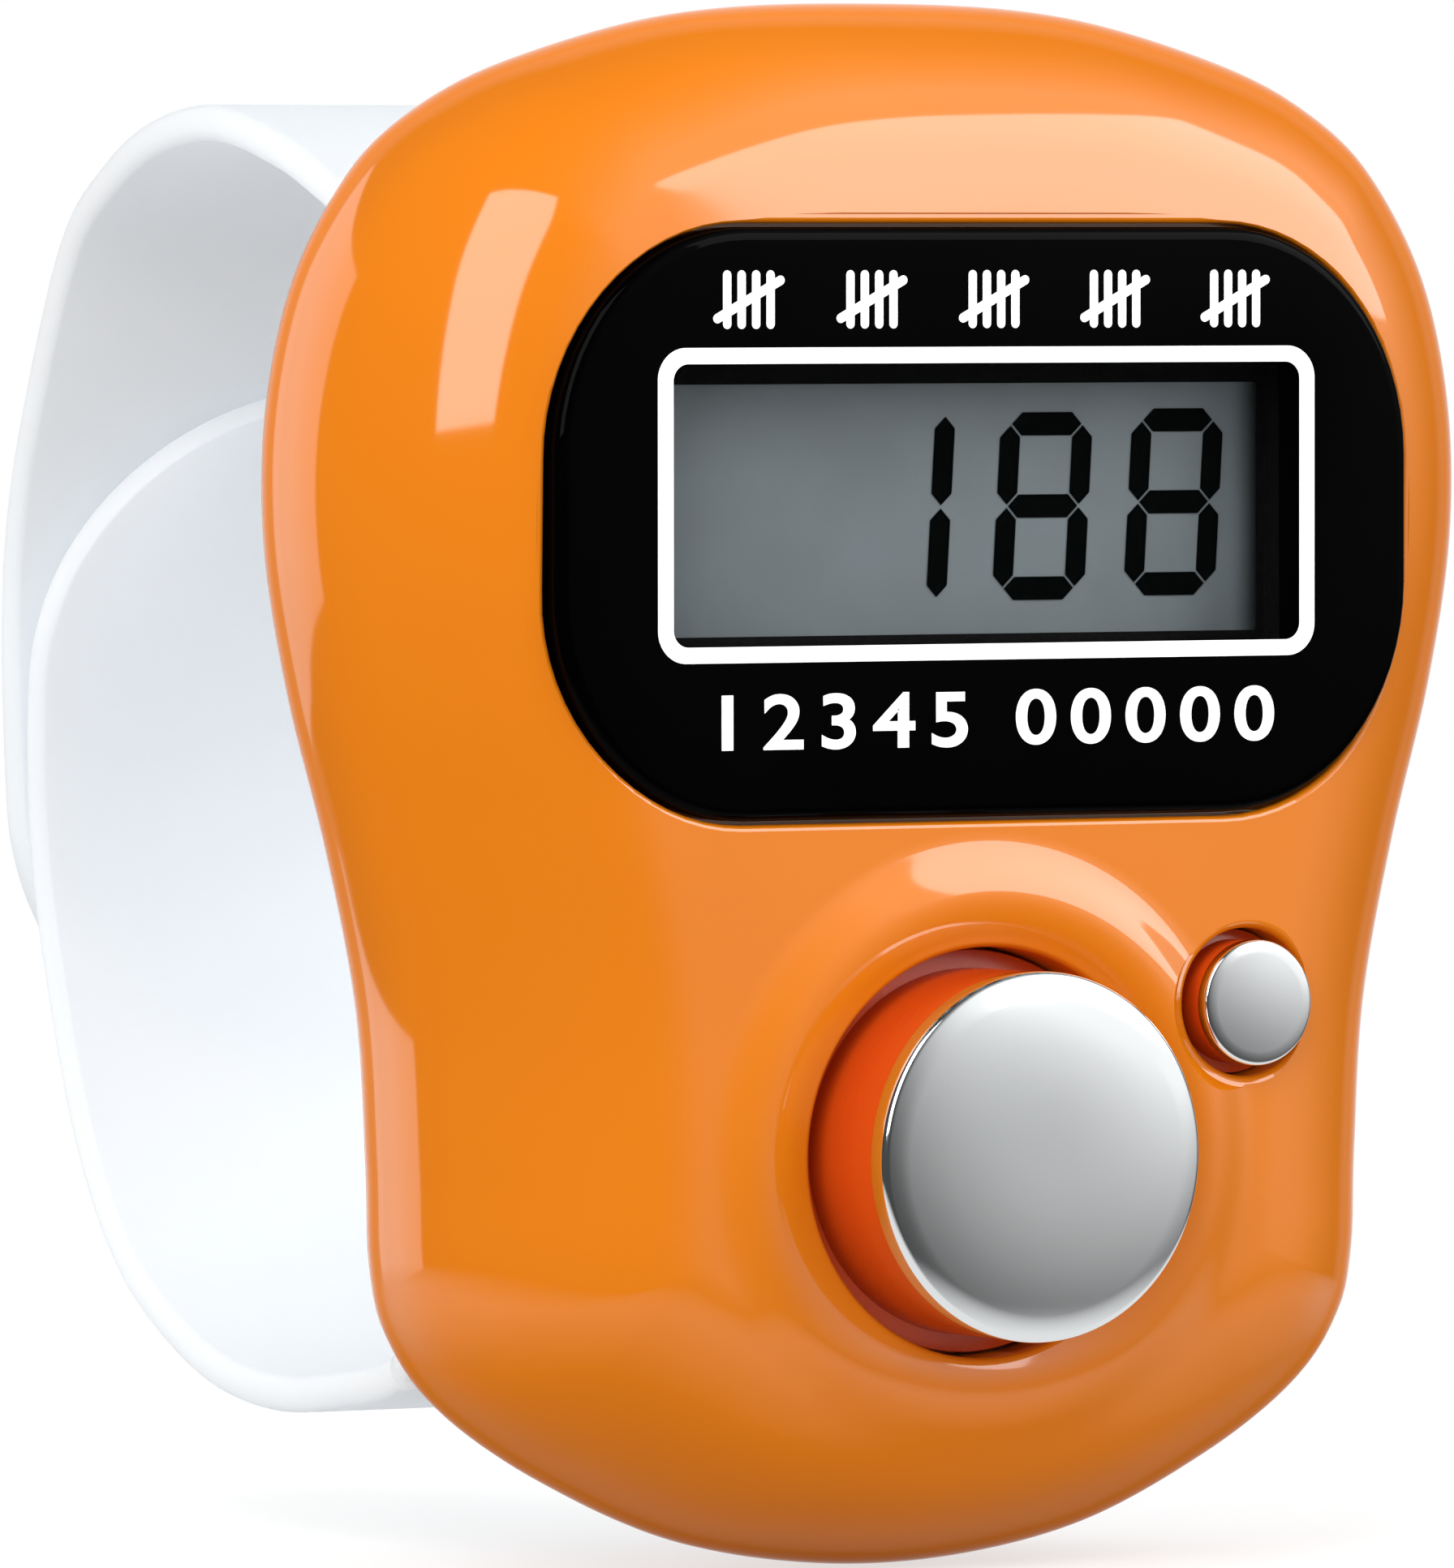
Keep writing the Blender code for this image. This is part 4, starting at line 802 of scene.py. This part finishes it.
def hoop(name, outer, inner, front, back, material):
    """Make a flat ring between two outlines of as many (x, up) points."""
    rings = [raised(outer, back), raised(outer, front), raised(inner, front), raised(inner, back)]
    return ring_surface(name, rings, material)


def stroke(start, end, width):
    """Return the outline of a straight pen stroke with round ends."""
    along = (Vector(end) - Vector(start)).normalized()
    across = Vector((-along.y, along.x))
    outline = []
    for centre, turn in ((Vector(end), 0), (Vector(start), pi)):
        for step in range(9):
            angle = turn + pi * (step / 8 - 0.5)
            outline.append(tuple(centre + (along * cos(angle) + across * sin(angle))
                                 * width / 2))
    return outline


def number_row(name, figures, x, up, material):
    """Print a row of plain figures, 1.45 mm high, centred at a place on the lens."""
    bpy.ops.object.text_add(location=spot(x, LENS_FRONT, up - 0.73), rotation=(pi / 2, 0, 0))
    text = bpy.context.active_object
    text.name = name
    text.data.body = figures
    text.data.align_x = 'CENTER'
    text.data.size = 2.02 * MM
    text.data.space_character = 1.3
    text.data.offset = 0.035 * MM
    text.data.extrude = PRINT_THICKNESS / 2 * MM
    bpy.ops.object.convert(target='MESH')
    piece = bpy.context.active_object
    piece.scale.x = 1.3
    fix_place(piece)
    piece.data.transform(Matrix.Translation((0, -PRINT_THICKNESS / 2 * MM, 0)))
    piece.data.materials.clear()
    piece.data.materials.append(material)
    return piece


def make_prints(white):
    """The white frame round the display, tally strokes above it and plain numbers below."""
    centre_x, centre_up = WINDOW_CENTRE
    outer = corner_line(*FRAME_OUTER, (0.85, 0.85), centre_x, centre_up)
    inner = corner_line(*FRAME_INNER, (0.45, 0.45), centre_x, centre_up)
    border = hoop("window_border", outer, inner, LENS_FRONT - PRINT_THICKNESS, LENS_FRONT, white)
    upright = []
    slant = []
    for group in range(5):
        left = -8.05 + group * 3.76
        for mark in range(4):
            x = left + mark * 0.44
            upright.append(stroke((x, 12.25), (x, 13.54), 0.25))
        slant.append(stroke((left - 0.3, 12.4), (left + 1.62, 13.4), 0.25))
    bars = flat_print("tally_bars", upright, LENS_FRONT, PRINT_THICKNESS, white)
    slashes = flat_print("tally_slashes", slant, LENS_FRONT, PRINT_THICKNESS * 1.4, white)
    counts = number_row("count_figures", "12345", -4.64, 1.84, white)
    zeros = number_row("reset_figures", "00000", 4.84, 1.87, white)
    for piece in (border, bars, slashes, counts, zeros):
        dress(piece, "case", "lens")


def segment(start, end):
    """Return a pointed bar of a digit between two corners of its figure."""
    along = (Vector(end) - Vector(start)).normalized()
    across = Vector((-along.y, along.x))
    half = DIGIT_STROKE / 2
    first = Vector(start) + along * DIGIT_GAP
    last = Vector(end) - along * DIGIT_GAP
    return [first, first + (along + across) * half, last + (across - along) * half, last,
            last - (along + across) * half, first + (along - across) * half]


def make_digits(ink):
    """The figures of the display: seven pointed bars to a digit, leaning a little."""
    right = (DIGIT_WIDTH - DIGIT_STROKE) / 2
    top = (DIGIT_HEIGHT - DIGIT_STROKE) / 2
    bars = [((right, 0), (right, top)), ((right, -top), (right, 0)), ((-right, top), (right, top)),
            ((-right, -top), (right, -top)), ((-right, 0), (right, 0)),
            ((-right, 0), (-right, top)), ((-right, -top), (-right, 0))]
    reach = top + DIGIT_STROKE * 0.4
    tall_bars = [((right, 0), (right, reach)), ((right, -reach), (right, 0))]
    outlines = []
    for figure, x, up in DIGITS:
        for start, end in tall_bars if figure == "1" else bars:
            outlines.append([(x + p.x + p.y * DIGIT_SLANT, up + p.y)
                             for p in segment(start, end)])
    piece = flat_print("lcd_digits", outlines, DIGIT_DEPTH + 0.01, 0.01, ink)
    dress(piece, "case", "display_glass")


def make_display_mask(black):
    """The foam ring in the window and the black print round the live field of the display."""
    outer = window_line(19.8, 7.9, 0.7)
    inner = window_line(19.4, 7.4, 0.3)
    ring = hoop("foam_ring", outer, inner, LENS_BACK + 0.1, FRONT_WALL + 0.1, black)
    dress(ring, "case", "black_foam", "window_gasket")
    edge = window_line(19.7, 8.0, 0.1)
    opening = window_line(*MASK_OPENING, 0.1, up=7.32)
    mask = hoop("glass_print", edge, opening, 2.24, 2.26, black)
    dress(mask, "case", "display_glass")


# Buttons

def bare_stem(piece, orange, depth):
    """Leave a cap's side unplated behind the given depth."""
    piece.data.materials.append(orange)
    for polygon in piece.data.polygons:
        polygon.material_index = 1 if polygon.center.y / MM - FACE_Y > depth else 0


def make_count_cap(chrome, orange):
    """The large button: a crowned plated disc on an orange stem with a guide collar. The stem's
    orange is painted darker and redder as shade in its hole.
    """
    radius, face, crown, roll = 4.9, -2.94, 0.26, 0.22
    profile = [(radius * share, face - crown * (1 - share ** 3))
               for share in (0, 0.15, 0.3, 0.45, 0.6, 0.7, 0.78, 0.85, 0.91)]
    profile += arc((radius - roll, face + roll), roll, -82, 0, 8)
    profile += [(radius, face + 0.68), (radius - 0.03, face + 0.71), (radius - 0.03, 1.0),
                (5.33, 1.05), (5.36, 1.1), (5.36, 2.3), (5.85, 2.3), (5.95, 2.4), (5.95, 3.0),
                (5.85, 3.1), (4.0, 3.1), (4.0, face + 1.2), (1.6, face + 1.2), (1.6, 3.1), (0, 3.1)]
    piece = turned_piece("count_cap", profile, (0, HOLE_UP), chrome, 128)
    # the unplated stem gets the orange painted darker as the shade in the hole
    bare_stem(piece, orange, face + 0.69)
    smooth(piece, 40)
    dress(piece, "count_button", "chrome", "count_button")


def make_reset_cap(chrome, orange):
    """The small button, made the same way and solid."""
    radius, face, crown, roll = 1.68, -0.55, 0.08, 0.12
    profile = [(radius * share, face - crown * (1 - share ** 2))
               for share in (0, 0.2, 0.4, 0.6, 0.78, 0.9)]
    profile += arc((radius - roll, face + roll), roll, -84, 0, 8)
    profile += [(radius, face + 0.4), (radius - 0.02, face + 0.42), (radius - 0.02, 0.9),
                (1.92, 0.95), (1.92, 2.3), (2.33, 2.3), (2.38, 2.35), (2.38, 2.95), (2.33, 3.0),
                (0, 3.0)]
    piece = turned_piece("reset_cap", profile, RESET_PLACE, chrome, 96)
    bare_stem(piece, orange, face + 0.41)
    smooth(piece, 40)
    dress(piece, "reset_button", "chrome", "reset_button")


def make_domes(silicone):
    """The rubber domes under the buttons, made in their shape at rest, before their buttons press
    them flat.
    """
    back = 5.7
    # depth of the front, radii of the top, the foot of the cone and the flange, and travel
    for name, place, front, top, base, foot, travel in (
            ("count", (0, HOLE_UP), 3.4, 2.1, 4.2, 5.2, 1.2),
            ("reset", RESET_PLACE, 3.3, 1.2, 1.9, 2.4, 0.8)):
        profile = [(0, front), (top - 0.15, front), (top, front + 0.1), (base, back - 0.35),
                   (base + 0.1, back - 0.3), (foot, back - 0.3), (foot, back), (base - 0.5, back),
                   (top - 0.25, front + 0.5), (0, front + 0.5)]
        piece = turned_piece(f"{name}_rubber_dome", profile, place, silicone, 64)
        smooth(piece, 40)
        dress(piece, "case", "silicone", f"{name}_dome")
        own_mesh(piece)


# Back

def make_door(orange):
    """The battery door: a shallow cup with a rounded rim, a coin slot and two lugs."""
    radius, back, inner = 6.5, 12.6, 11.4
    profile = [(0, inner), (6.1, inner), (6.1, 9.65), (6.2, 9.6), (6.4, 9.6), (radius, 9.7)]
    profile += arc((radius - 0.25, back - 0.25), 0.25, 0, 90, 6)
    profile += [(5.55, back), (5.5, back - 0.12), (5.3, back - 0.12), (5.25, back), (0, back)]
    piece = turned_piece("coin_door", profile, (0, 0), orange, 128)
    for side in (-1, 1):
        lug = block(side * (LUG_REACH - 0.6), 10.5, 0, (1.2, 0.8, LUG_WIDTH))
        edit_all(lug)
        bpy.ops.mesh.bevel(offset=0.12 * MM, segments=2)
        bpy.ops.object.mode_set(mode='OBJECT')
        cut(piece, lug, 'UNION')
    slot = corner_line(9.0, 1.1, (0.5, 0.5), steps=8)
    flared = corner_line(9.3, 1.4, (0.65, 0.65), steps=8)
    cut(piece, plug([raised(slot, back - 0.5), raised(slot, back - 0.15),
                     raised(flared, back + 0.02), raised(flared, back + 0.4)], orange))
    smooth(piece, 32)
    dress(piece, "battery_door", "orange_case", "battery_door")


def make_case_screws(steel):
    """Four pan head screws in their wells: one is made, and the others are its copies."""
    x, up = SCREW_PLACES[0]
    profile = [(0, 5.6), (0.3, 5.65), (0.6, 6.2), (0.6, 10.8), (1.2, 10.8), (1.25, 10.86)]
    profile += [(1.25, 11.2), (1.18, 11.38), (0.98, 11.52), (0.7, 11.6), (0, 11.62)]
    first = turned_piece("screw", profile, (x, up), steel, 48)
    for turn in (0, pi / 2):
        cut(first, block(x, 11.62, up, (1.5, 0.9, 0.26), turn + pi / 9))
    smooth(first, 32)
    for index, (side, height) in enumerate(SCREW_PLACES):
        copy = new_object(f"pan_screw_{index + 1}", first.data.copy())
        copy.data.transform(Matrix.Translation(((side - x) * MM, 0, (height - up) * MM)))
        dress(copy, "case", "steel", f"case_screw_{index + 1}")
    bpy.data.objects.remove(first)


# Finger band

BAND_WIDTH = 18.8
BAND_THICKNESS = 1.0
BAND_ROUND = 0.24           # rolled edge of the band
BAND_REACH = 25.4
BAND_TOP = 18.2
BAND_BOTTOM = 17.5
TONGUE_GAP = 0.5            # between the two arms where they pass each other
HINGE_GAP = 0.3
SADDLE_MIDDLE = 13.4
TONGUES = {"upper": 8.6, "lower": 8.4}
SADDLE_FLAT_SHARES = [0.0, 0.35, 0.65, 0.82]
ARM_SHARES = {
    "upper": [(0.104, 0.768), (0.197, 0.850), (0.280, 0.906), (0.378, 0.958), (0.522, 1.000),
              (0.663, 0.976), (0.771, 0.908), (0.859, 0.805), (0.944, 0.560), (0.988, 0.370),
              (1.000, 0.180), (0.990, -0.066), (0.966, -0.310), (0.924, -0.552)],
    "lower": [(0.111, 0.938), (0.274, 0.988), (0.427, 1.000), (0.577, 0.964), (0.726, 0.866),
              (0.818, 0.753), (0.893, 0.583), (0.951, 0.369), (0.988, 0.179), (1.000, -0.030),
              (0.983, -0.268), (0.947, -0.470), (0.913, -0.602)],
}


def half_band(name, reach, height):
    """Return the middle line of half the band in (depth, up), split at its hinge."""
    shares = ARM_SHARES[name]
    hinge = shares[0][1] * height
    points = [Vector((SADDLE_MIDDLE, hinge * share)) for share in SADDLE_FLAT_SHARES]
    points += [Vector((CASE_DEPTH + share * reach, up * height)) for share, up in shares]
    line = smooth_line(points, False, 12)
    split = len(SADDLE_FLAT_SHARES) * 12
    return line[:split + 1], line[split:]


def band_section(point, normal, half_width):
    """Return one closed cross section of the band with rolled edges."""
    roll = min(BAND_ROUND, half_width * 0.9)
    half = BAND_THICKNESS / 2
    section = []
    for side, start in ((1, 90), (-1, 270)):
        for step in range(9):
            angle = radians(start - 180 * step / 8)
            x = side * (half_width - roll) + roll * cos(angle)
            across = half * sin(angle)
            section.append(Vector((x, point.x + normal.x * across, point.y + normal.y * across)))
    return section


def mark_highlight_rims(piece, count):
    """Note on each point of a strip how near it is to a rolled edge, from 0 to 1, as the mask of a
    painted highlight.
    """
    rim = piece.data.attributes.new("rim", 'FLOAT', 'POINT')
    for index in range(len(piece.data.vertices)):
        step = index % count % 9
        rim.data[index].value = abs(cos(radians(90 - 180 * step / 8)))


def band_strip(name, line, tongue, material):
    """Make a strip of the band along its middle line, with a rounded tongue at its end."""
    lengths = line_lengths(line)
    total = lengths[-1]
    start = HINGE_GAP if tongue else 0.0
    straight = total - tongue - start
    goals = [start + straight * step / 90 for step in range(91)]
    if tongue:
        goals += [total - tongue + tongue * sin(radians(88.5) * step / 28)
                  for step in range(1, 29)]
    rings = []
    for goal, (index, share) in zip(goals, walk(lengths, goals)):
        point = line[index].lerp(line[index + 1], min(share, 1.0))
        before = line[max(index - 1, 0)]
        after = line[min(index + 2, len(line) - 1)]
        along = (after - before).normalized()
        half_width = BAND_WIDTH / 2
        if tongue and total - goal < tongue:
            half_width *= sqrt(max(1 - (1 - (total - goal) / tongue) ** 2, 0))
        rings.append(band_section(point, Vector((-along.y, along.x)), half_width))
    piece = ring_surface(name, rings, material, closed=False)
    mark_highlight_rims(piece, len(rings[0]))
    smooth(piece, 50)
    return piece


def make_band(milky):
    """The saddle behind the case and the two curled arms."""
    reach = BAND_REACH - BAND_THICKNESS / 2
    upper_flat, upper = half_band("upper", reach, BAND_TOP - BAND_THICKNESS / 2)
    lower_flat, lower = half_band("lower", reach - BAND_THICKNESS - TONGUE_GAP,
                                  BAND_THICKNESS / 2 - BAND_BOTTOM)
    saddle = band_strip("saddle", lower_flat[:0:-1] + upper_flat, 0, milky)
    bore(saddle, (0, 0), 8.1, CASE_DEPTH - 1, SADDLE_MIDDLE + 2, sides=128)
    peg = [(0, 10.0), (1.7, 10.0), (1.8, 10.1), (1.8, 10.9), (1.1, 10.9), (1.1, SADDLE_MIDDLE),
           (0, SADDLE_MIDDLE)]
    for up in (PEG_UP, -PEG_UP):
        cut(saddle, turned_piece("peg", peg, (0, up), milky, 32), 'UNION')
    smooth(saddle, 35)
    dress(saddle, "case", "band", "band_saddle")
    for name, line in (("upper", upper), ("lower", lower)):
        arm = band_strip(f"{name}_arm", line, TONGUES[name], milky)
        dress(arm, f"band_{name}_arm", "band", f"band_{name}_arm")


# Finishes

# Plain ones: light and dark colour, size of the patches, roughness and its spread, size and
# height of the relief, and further settings of the shader
PLAIN_FINISHES = {
    # the same ABS as the case, painted a deeper, redder orange as the shade down in the button
    # holes, for the stems of the buttons
    "painted_shade_orange_abs": ("c9480f", "bf3f0a", 3, 0.25, 0.05, 1, 1),
    # cast acrylic printed black behind: deep black with a weak clear reflection
    "black_acrylic": ("020203", "000000", 6, 0.035, 0.01, 4, 0.05,
                      {"IOR": 1.49, "Specular IOR Level": 0.03}),
    # its unprinted field: almost nothing but a faint reflection
    "clear_acrylic": ("0a0b0b", "050606", 6, 0.035, 0.01, 4, 0.05, {"IOR": 1.49, "Alpha": 0.02}),
    # screen printed ink: flat white with a faint mesh grain
    "white_screen_ink": ("ffffff", "f6f7f7", 0.5, 0.45, 0.05, 0.12, 1.0),
    # switched liquid crystal: neutral near black behind the polarising film
    "lcd_segment": ("040505", "020303", 1.2, 0.5, 0.05, 0.3, 0.2, {"Specular IOR Level": 0.0}),
    # chromium plating over polished ABS: a bright neutral mirror
    "chrome_plated_abs": ("f3f5f6", "eceff0", 5, 0.09, 0.012, 3, 0.04, {"Metallic": 1.0}),
    # die cut closed cell foam: dull black with fine pores
    "black_foam": ("0b0b0b", "040404", 0.3, 0.85, 0.05, 0.15, 20, {"Specular IOR Level": 0.1}),
    "stainless_steel": ("c6c5c2", "b8b7b4", 2, 0.24, 0.08, 0.25, 2, {"Metallic": 1.0}),
    "nickel_plate": ("cbc3b2", "bdb5a5", 2, 0.2, 0.06, 0.4, 1, {"Metallic": 1.0}),
    "milky_silicone": ("d2d2ce", "c6c6c2", 3, 0.5, 0.08, 0.5, 4),
    "carbon_rubber": ("232323", "191919", 0.6, 0.75, 0.08, 0.1, 6),
    "black_resin": ("121213", "0a0a0b", 2, 0.22, 0.06, 0.8, 6),
    "black_styrene": ("141414", "0c0c0c", 3, 0.45, 0.08, 0.4, 4),
    "green_solder_mask": ("1d6b3d", "155a31", 4, 0.35, 0.06, 0.6, 3),
    "tan_ceramic": ("a1866a", "8f755b", 0.8, 0.5, 0.08, 0.1, 5),
}

# Solids that stay as they are, by their finish
INNER_SOLIDS = {
    "polarising_film_painted_shade": ("lcd_front_glass", "lcd_rear_glass", "lcd_reflector"),
    "striped_rubber": ("zebra_connector",),
    "black_styrene": ("lcd_holder",),
    "green_solder_mask": ("circuit_board",),
    "black_resin": ("chip_blob", "timing_resistor"),
    "tan_ceramic": ("supply_capacitor",),
    "carbon_rubber": ("count_contact_pill", "reset_contact_pill"),
    "stainless_steel": ("button_cell", "board_screw_1", "board_screw_2", "board_screw_3"),
    "nickel_plate": ("battery_minus_spring", "battery_plus_clip"),
}


def orange_abs():
    """Injection moulded ABS from a polished mould: saturated orange, mirror smooth skin.

    The photograph shows next to no sheen along the outline and under the chin.
    """
    material = moulded("glossy_orange_abs", "cd7110", "c56a09", 9, 0.085, 0.015, 2.5, 0.25,
                       {"IOR": 1.53, "Coat Roughness": 0.05})
    tree, shader = nodes_of(material)
    aside = add_node(tree, "ShaderNodeLayerWeight", {"Blend": 0.5}).outputs["Facing"]
    inward = ramp(tree, aside, 0.5, 0.76, 1.0, 0.02, 'SMOOTHSTEP')
    facing = add_node(tree, "ShaderNodeNewGeometry").outputs["Normal"]
    climb = add_node(tree, "ShaderNodeSeparateXYZ", {0: facing}).outputs["Z"]
    chin = ramp(tree, climb, -0.5, -0.1, 0.1, 1.0)
    sheen = reckon(tree, 'MULTIPLY', inward, chin)
    tree.links.new(reckon(tree, 'MULTIPLY', sheen, 0.5), shader.inputs["Specular IOR Level"])
    tree.links.new(reckon(tree, 'MULTIPLY', sheen, 0.45), shader.inputs["Coat Weight"])
    return material


def polarising_film_painted_shade():
    """Grey polarising film over a satin reflector, with a painted shadow darkening its right end.
    """
    material = moulded("polarising_film_painted_shade", "6b7478", "62696c", 2.2, 0.42, 0.05, 0.08, 0.3,
                       {"Specular IOR Level": 0.25})
    tree = material.node_tree
    across = add_node(tree, "ShaderNodeSeparateXYZ", {0: own_place(tree)}).outputs["X"]
    # painted shadow: the film darkens to near black over its last millimetre on the right, where
    # the window's wall shades it
    tint(material, ramp(tree, across, 9.0 * MM, 10.0 * MM, easing='SMOOTHSTEP'), "0a0b0b")
    return material


def milky_polythene():
    """Low density polythene: milky white that lets light through, with a painted highlight along
    its rolled edges.
    """
    material = moulded("milky_polythene", "f7fbfe", "f3f7fb", 6, 0.34, 0.05, 1.2, 1.0,
                       {"IOR": 1.51})
    tree, shader = nodes_of(material)
    rim = add_node(tree, "ShaderNodeAttribute", attribute_name="rim").outputs["Fac"]
    # painted highlight: the rolled edges are tinted whiter
    tint(material, rim, "fdfdfd")
    through = add_node(tree, "ShaderNodeBsdfTranslucent", {"Color": linear("fafdff")})
    show_shader(material, blend_shaders(tree, 0.62, shader.outputs[0], through.outputs[0]))
    return material


def striped_rubber():
    """The connector's rubber: pale and carbon layers, drawn 0.4 mm wide to show at all."""
    material = moulded("striped_rubber", "b9b6c0", "aba8b2", 2, 0.7, 0.08, 0.2, 4)
    tree = material.node_tree
    wave = add_node(tree, "ShaderNodeTexWave", {
        "Vector": own_place(tree), "Scale": 0.5 / (0.8 * MM) / pi},
                    bands_direction='X').outputs["Fac"]
    tint(material, wave, "2a2a2c")
    return material


# Surroundings

LAMP_WAY = (0.718, -0.65, 0.604)    # the mirrored room is bright this way, and dim elsewhere
BRIGHT_SIDE = (-0.92, -0.25, 0.3)   # the soft light comes mostly from here
CAMERA_WAY = (sin(TURN), cos(TURN), 0)    # from the camera to the counter
FLOOR_DROP = 0.05 * MM              # the floor lies this far under the counter
FLOOR_FADE = (0.045, 0.06)          # metres from its middle over which the floor fades away
PAPER_GLOW = 0.68                   # share of glowing white in the floor's paper


def make_world():
    """A white world: plain to the camera, a dim room in mirrors, and a soft light from the left.

    Behind the counter the mirrored room is as white as the background.
    """
    world = bpy.data.worlds.new("studio")
    bpy.context.scene.world = world
    world.use_nodes = True
    tree = world.node_tree
    tree.nodes.clear()
    camera_ray, mirrored = ray_kinds(tree)
    way = add_node(tree, "ShaderNodeTexCoord").outputs["Generated"]
    rising = reckon(tree, 'POWER', toward_way(tree, way, LAMP_WAY), 7.0, use_clamp=True)
    room = reckon(tree, 'ADD', rising, 0.06)
    behind = ramp(tree, toward_way(tree, way, CAMERA_WAY), 0.7, 0.98)
    reflected = blend(tree, behind, room, 1.0)
    soft = ramp(tree, toward_way(tree, way, BRIGHT_SIDE), -1.0, 1.0, 0.42, 1.22)
    level = blend(tree, camera_ray, blend(tree, mirrored, soft, reflected), 1.0)
    light = add_node(tree, "ShaderNodeBackground", {"Color": linear("ffffff"), "Strength": level})
    add_node(tree, "ShaderNodeOutputWorld", {"Surface": light.outputs[0]})


def make_floor():
    """A pale paper floor under the counter that keeps its shadow and fades into the white."""
    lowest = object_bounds()[0][2]
    bpy.ops.object.select_all(action='DESELECT')
    bpy.ops.mesh.primitive_circle_add(vertices=96, radius=0.5, fill_type='NGON',
                                      location=(0, 0, lowest - FLOOR_DROP))
    floor = bpy.context.active_object
    floor.name = "floor"
    fix_place(floor)
    material = moulded("matt_paper", "fdfdfd", "f9f9f9", 60, 0.8, 0.05, 1, 2,
                       {"Specular IOR Level": 0.1})
    tree, shader = nodes_of(material)
    away = add_node(tree, "ShaderNodeVectorMath", {0: own_place(tree)},
                    operation='LENGTH').outputs["Value"]
    camera_ray, mirrored = ray_kinds(tree)
    level = blend(tree, camera_ray, blend(tree, mirrored, 0.45, 0.85), 1.0)
    glow = add_node(tree, "ShaderNodeEmission", {"Color": linear("ffffff"), "Strength": level})
    share = reckon(tree, 'MAXIMUM', mirrored, PAPER_GLOW)
    paper = blend_shaders(tree, share, shader.outputs[0], glow.outputs[0])
    clear = add_node(tree, "ShaderNodeBsdfTransparent").outputs[0]
    show_shader(material, blend_shaders(tree, ramp(tree, away, *FLOOR_FADE), paper, clear))
    floor.data.materials.append(material)


# The counter

plain = {name: moulded(name, *values) for name, values in PLAIN_FINISHES.items()}
orange = orange_abs()
plating = plain["chrome_plated_abs"]
# the stems take the orange painted darker and redder as shade in the button holes
stem = plain["painted_shade_orange_abs"]

make_camera()
make_case_front(orange)
make_case_back(orange)
make_lens(plain["black_acrylic"], plain["clear_acrylic"])
make_prints(plain["white_screen_ink"])
make_digits(plain["lcd_segment"])
make_display_mask(plain["black_foam"])
make_count_cap(plating, stem)
make_reset_cap(plating, stem)
make_domes(plain["milky_silicone"])
make_door(orange)
make_case_screws(plain["stainless_steel"])
make_band(milky_polythene())
inner = {**plain, "polarising_film_painted_shade": polarising_film_painted_shade(), "striped_rubber": striped_rubber()}
for finish, names in INNER_SOLIDS.items():
    for name in names:
        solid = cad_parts[name].data
        solid.materials.clear()
        solid.materials.append(inner[finish])

make_world()
make_floor()
softbox("right_box", 47, 30, 0.35, 0.325, 1.32)
softbox("left_box", -51, 33, 0.26, 0.42, 1.45)
softbox("rear_box", -153, 8.5, 0.34, 0.33, 0.4)
bpy.context.scene.view_settings.view_transform = 'Standard'
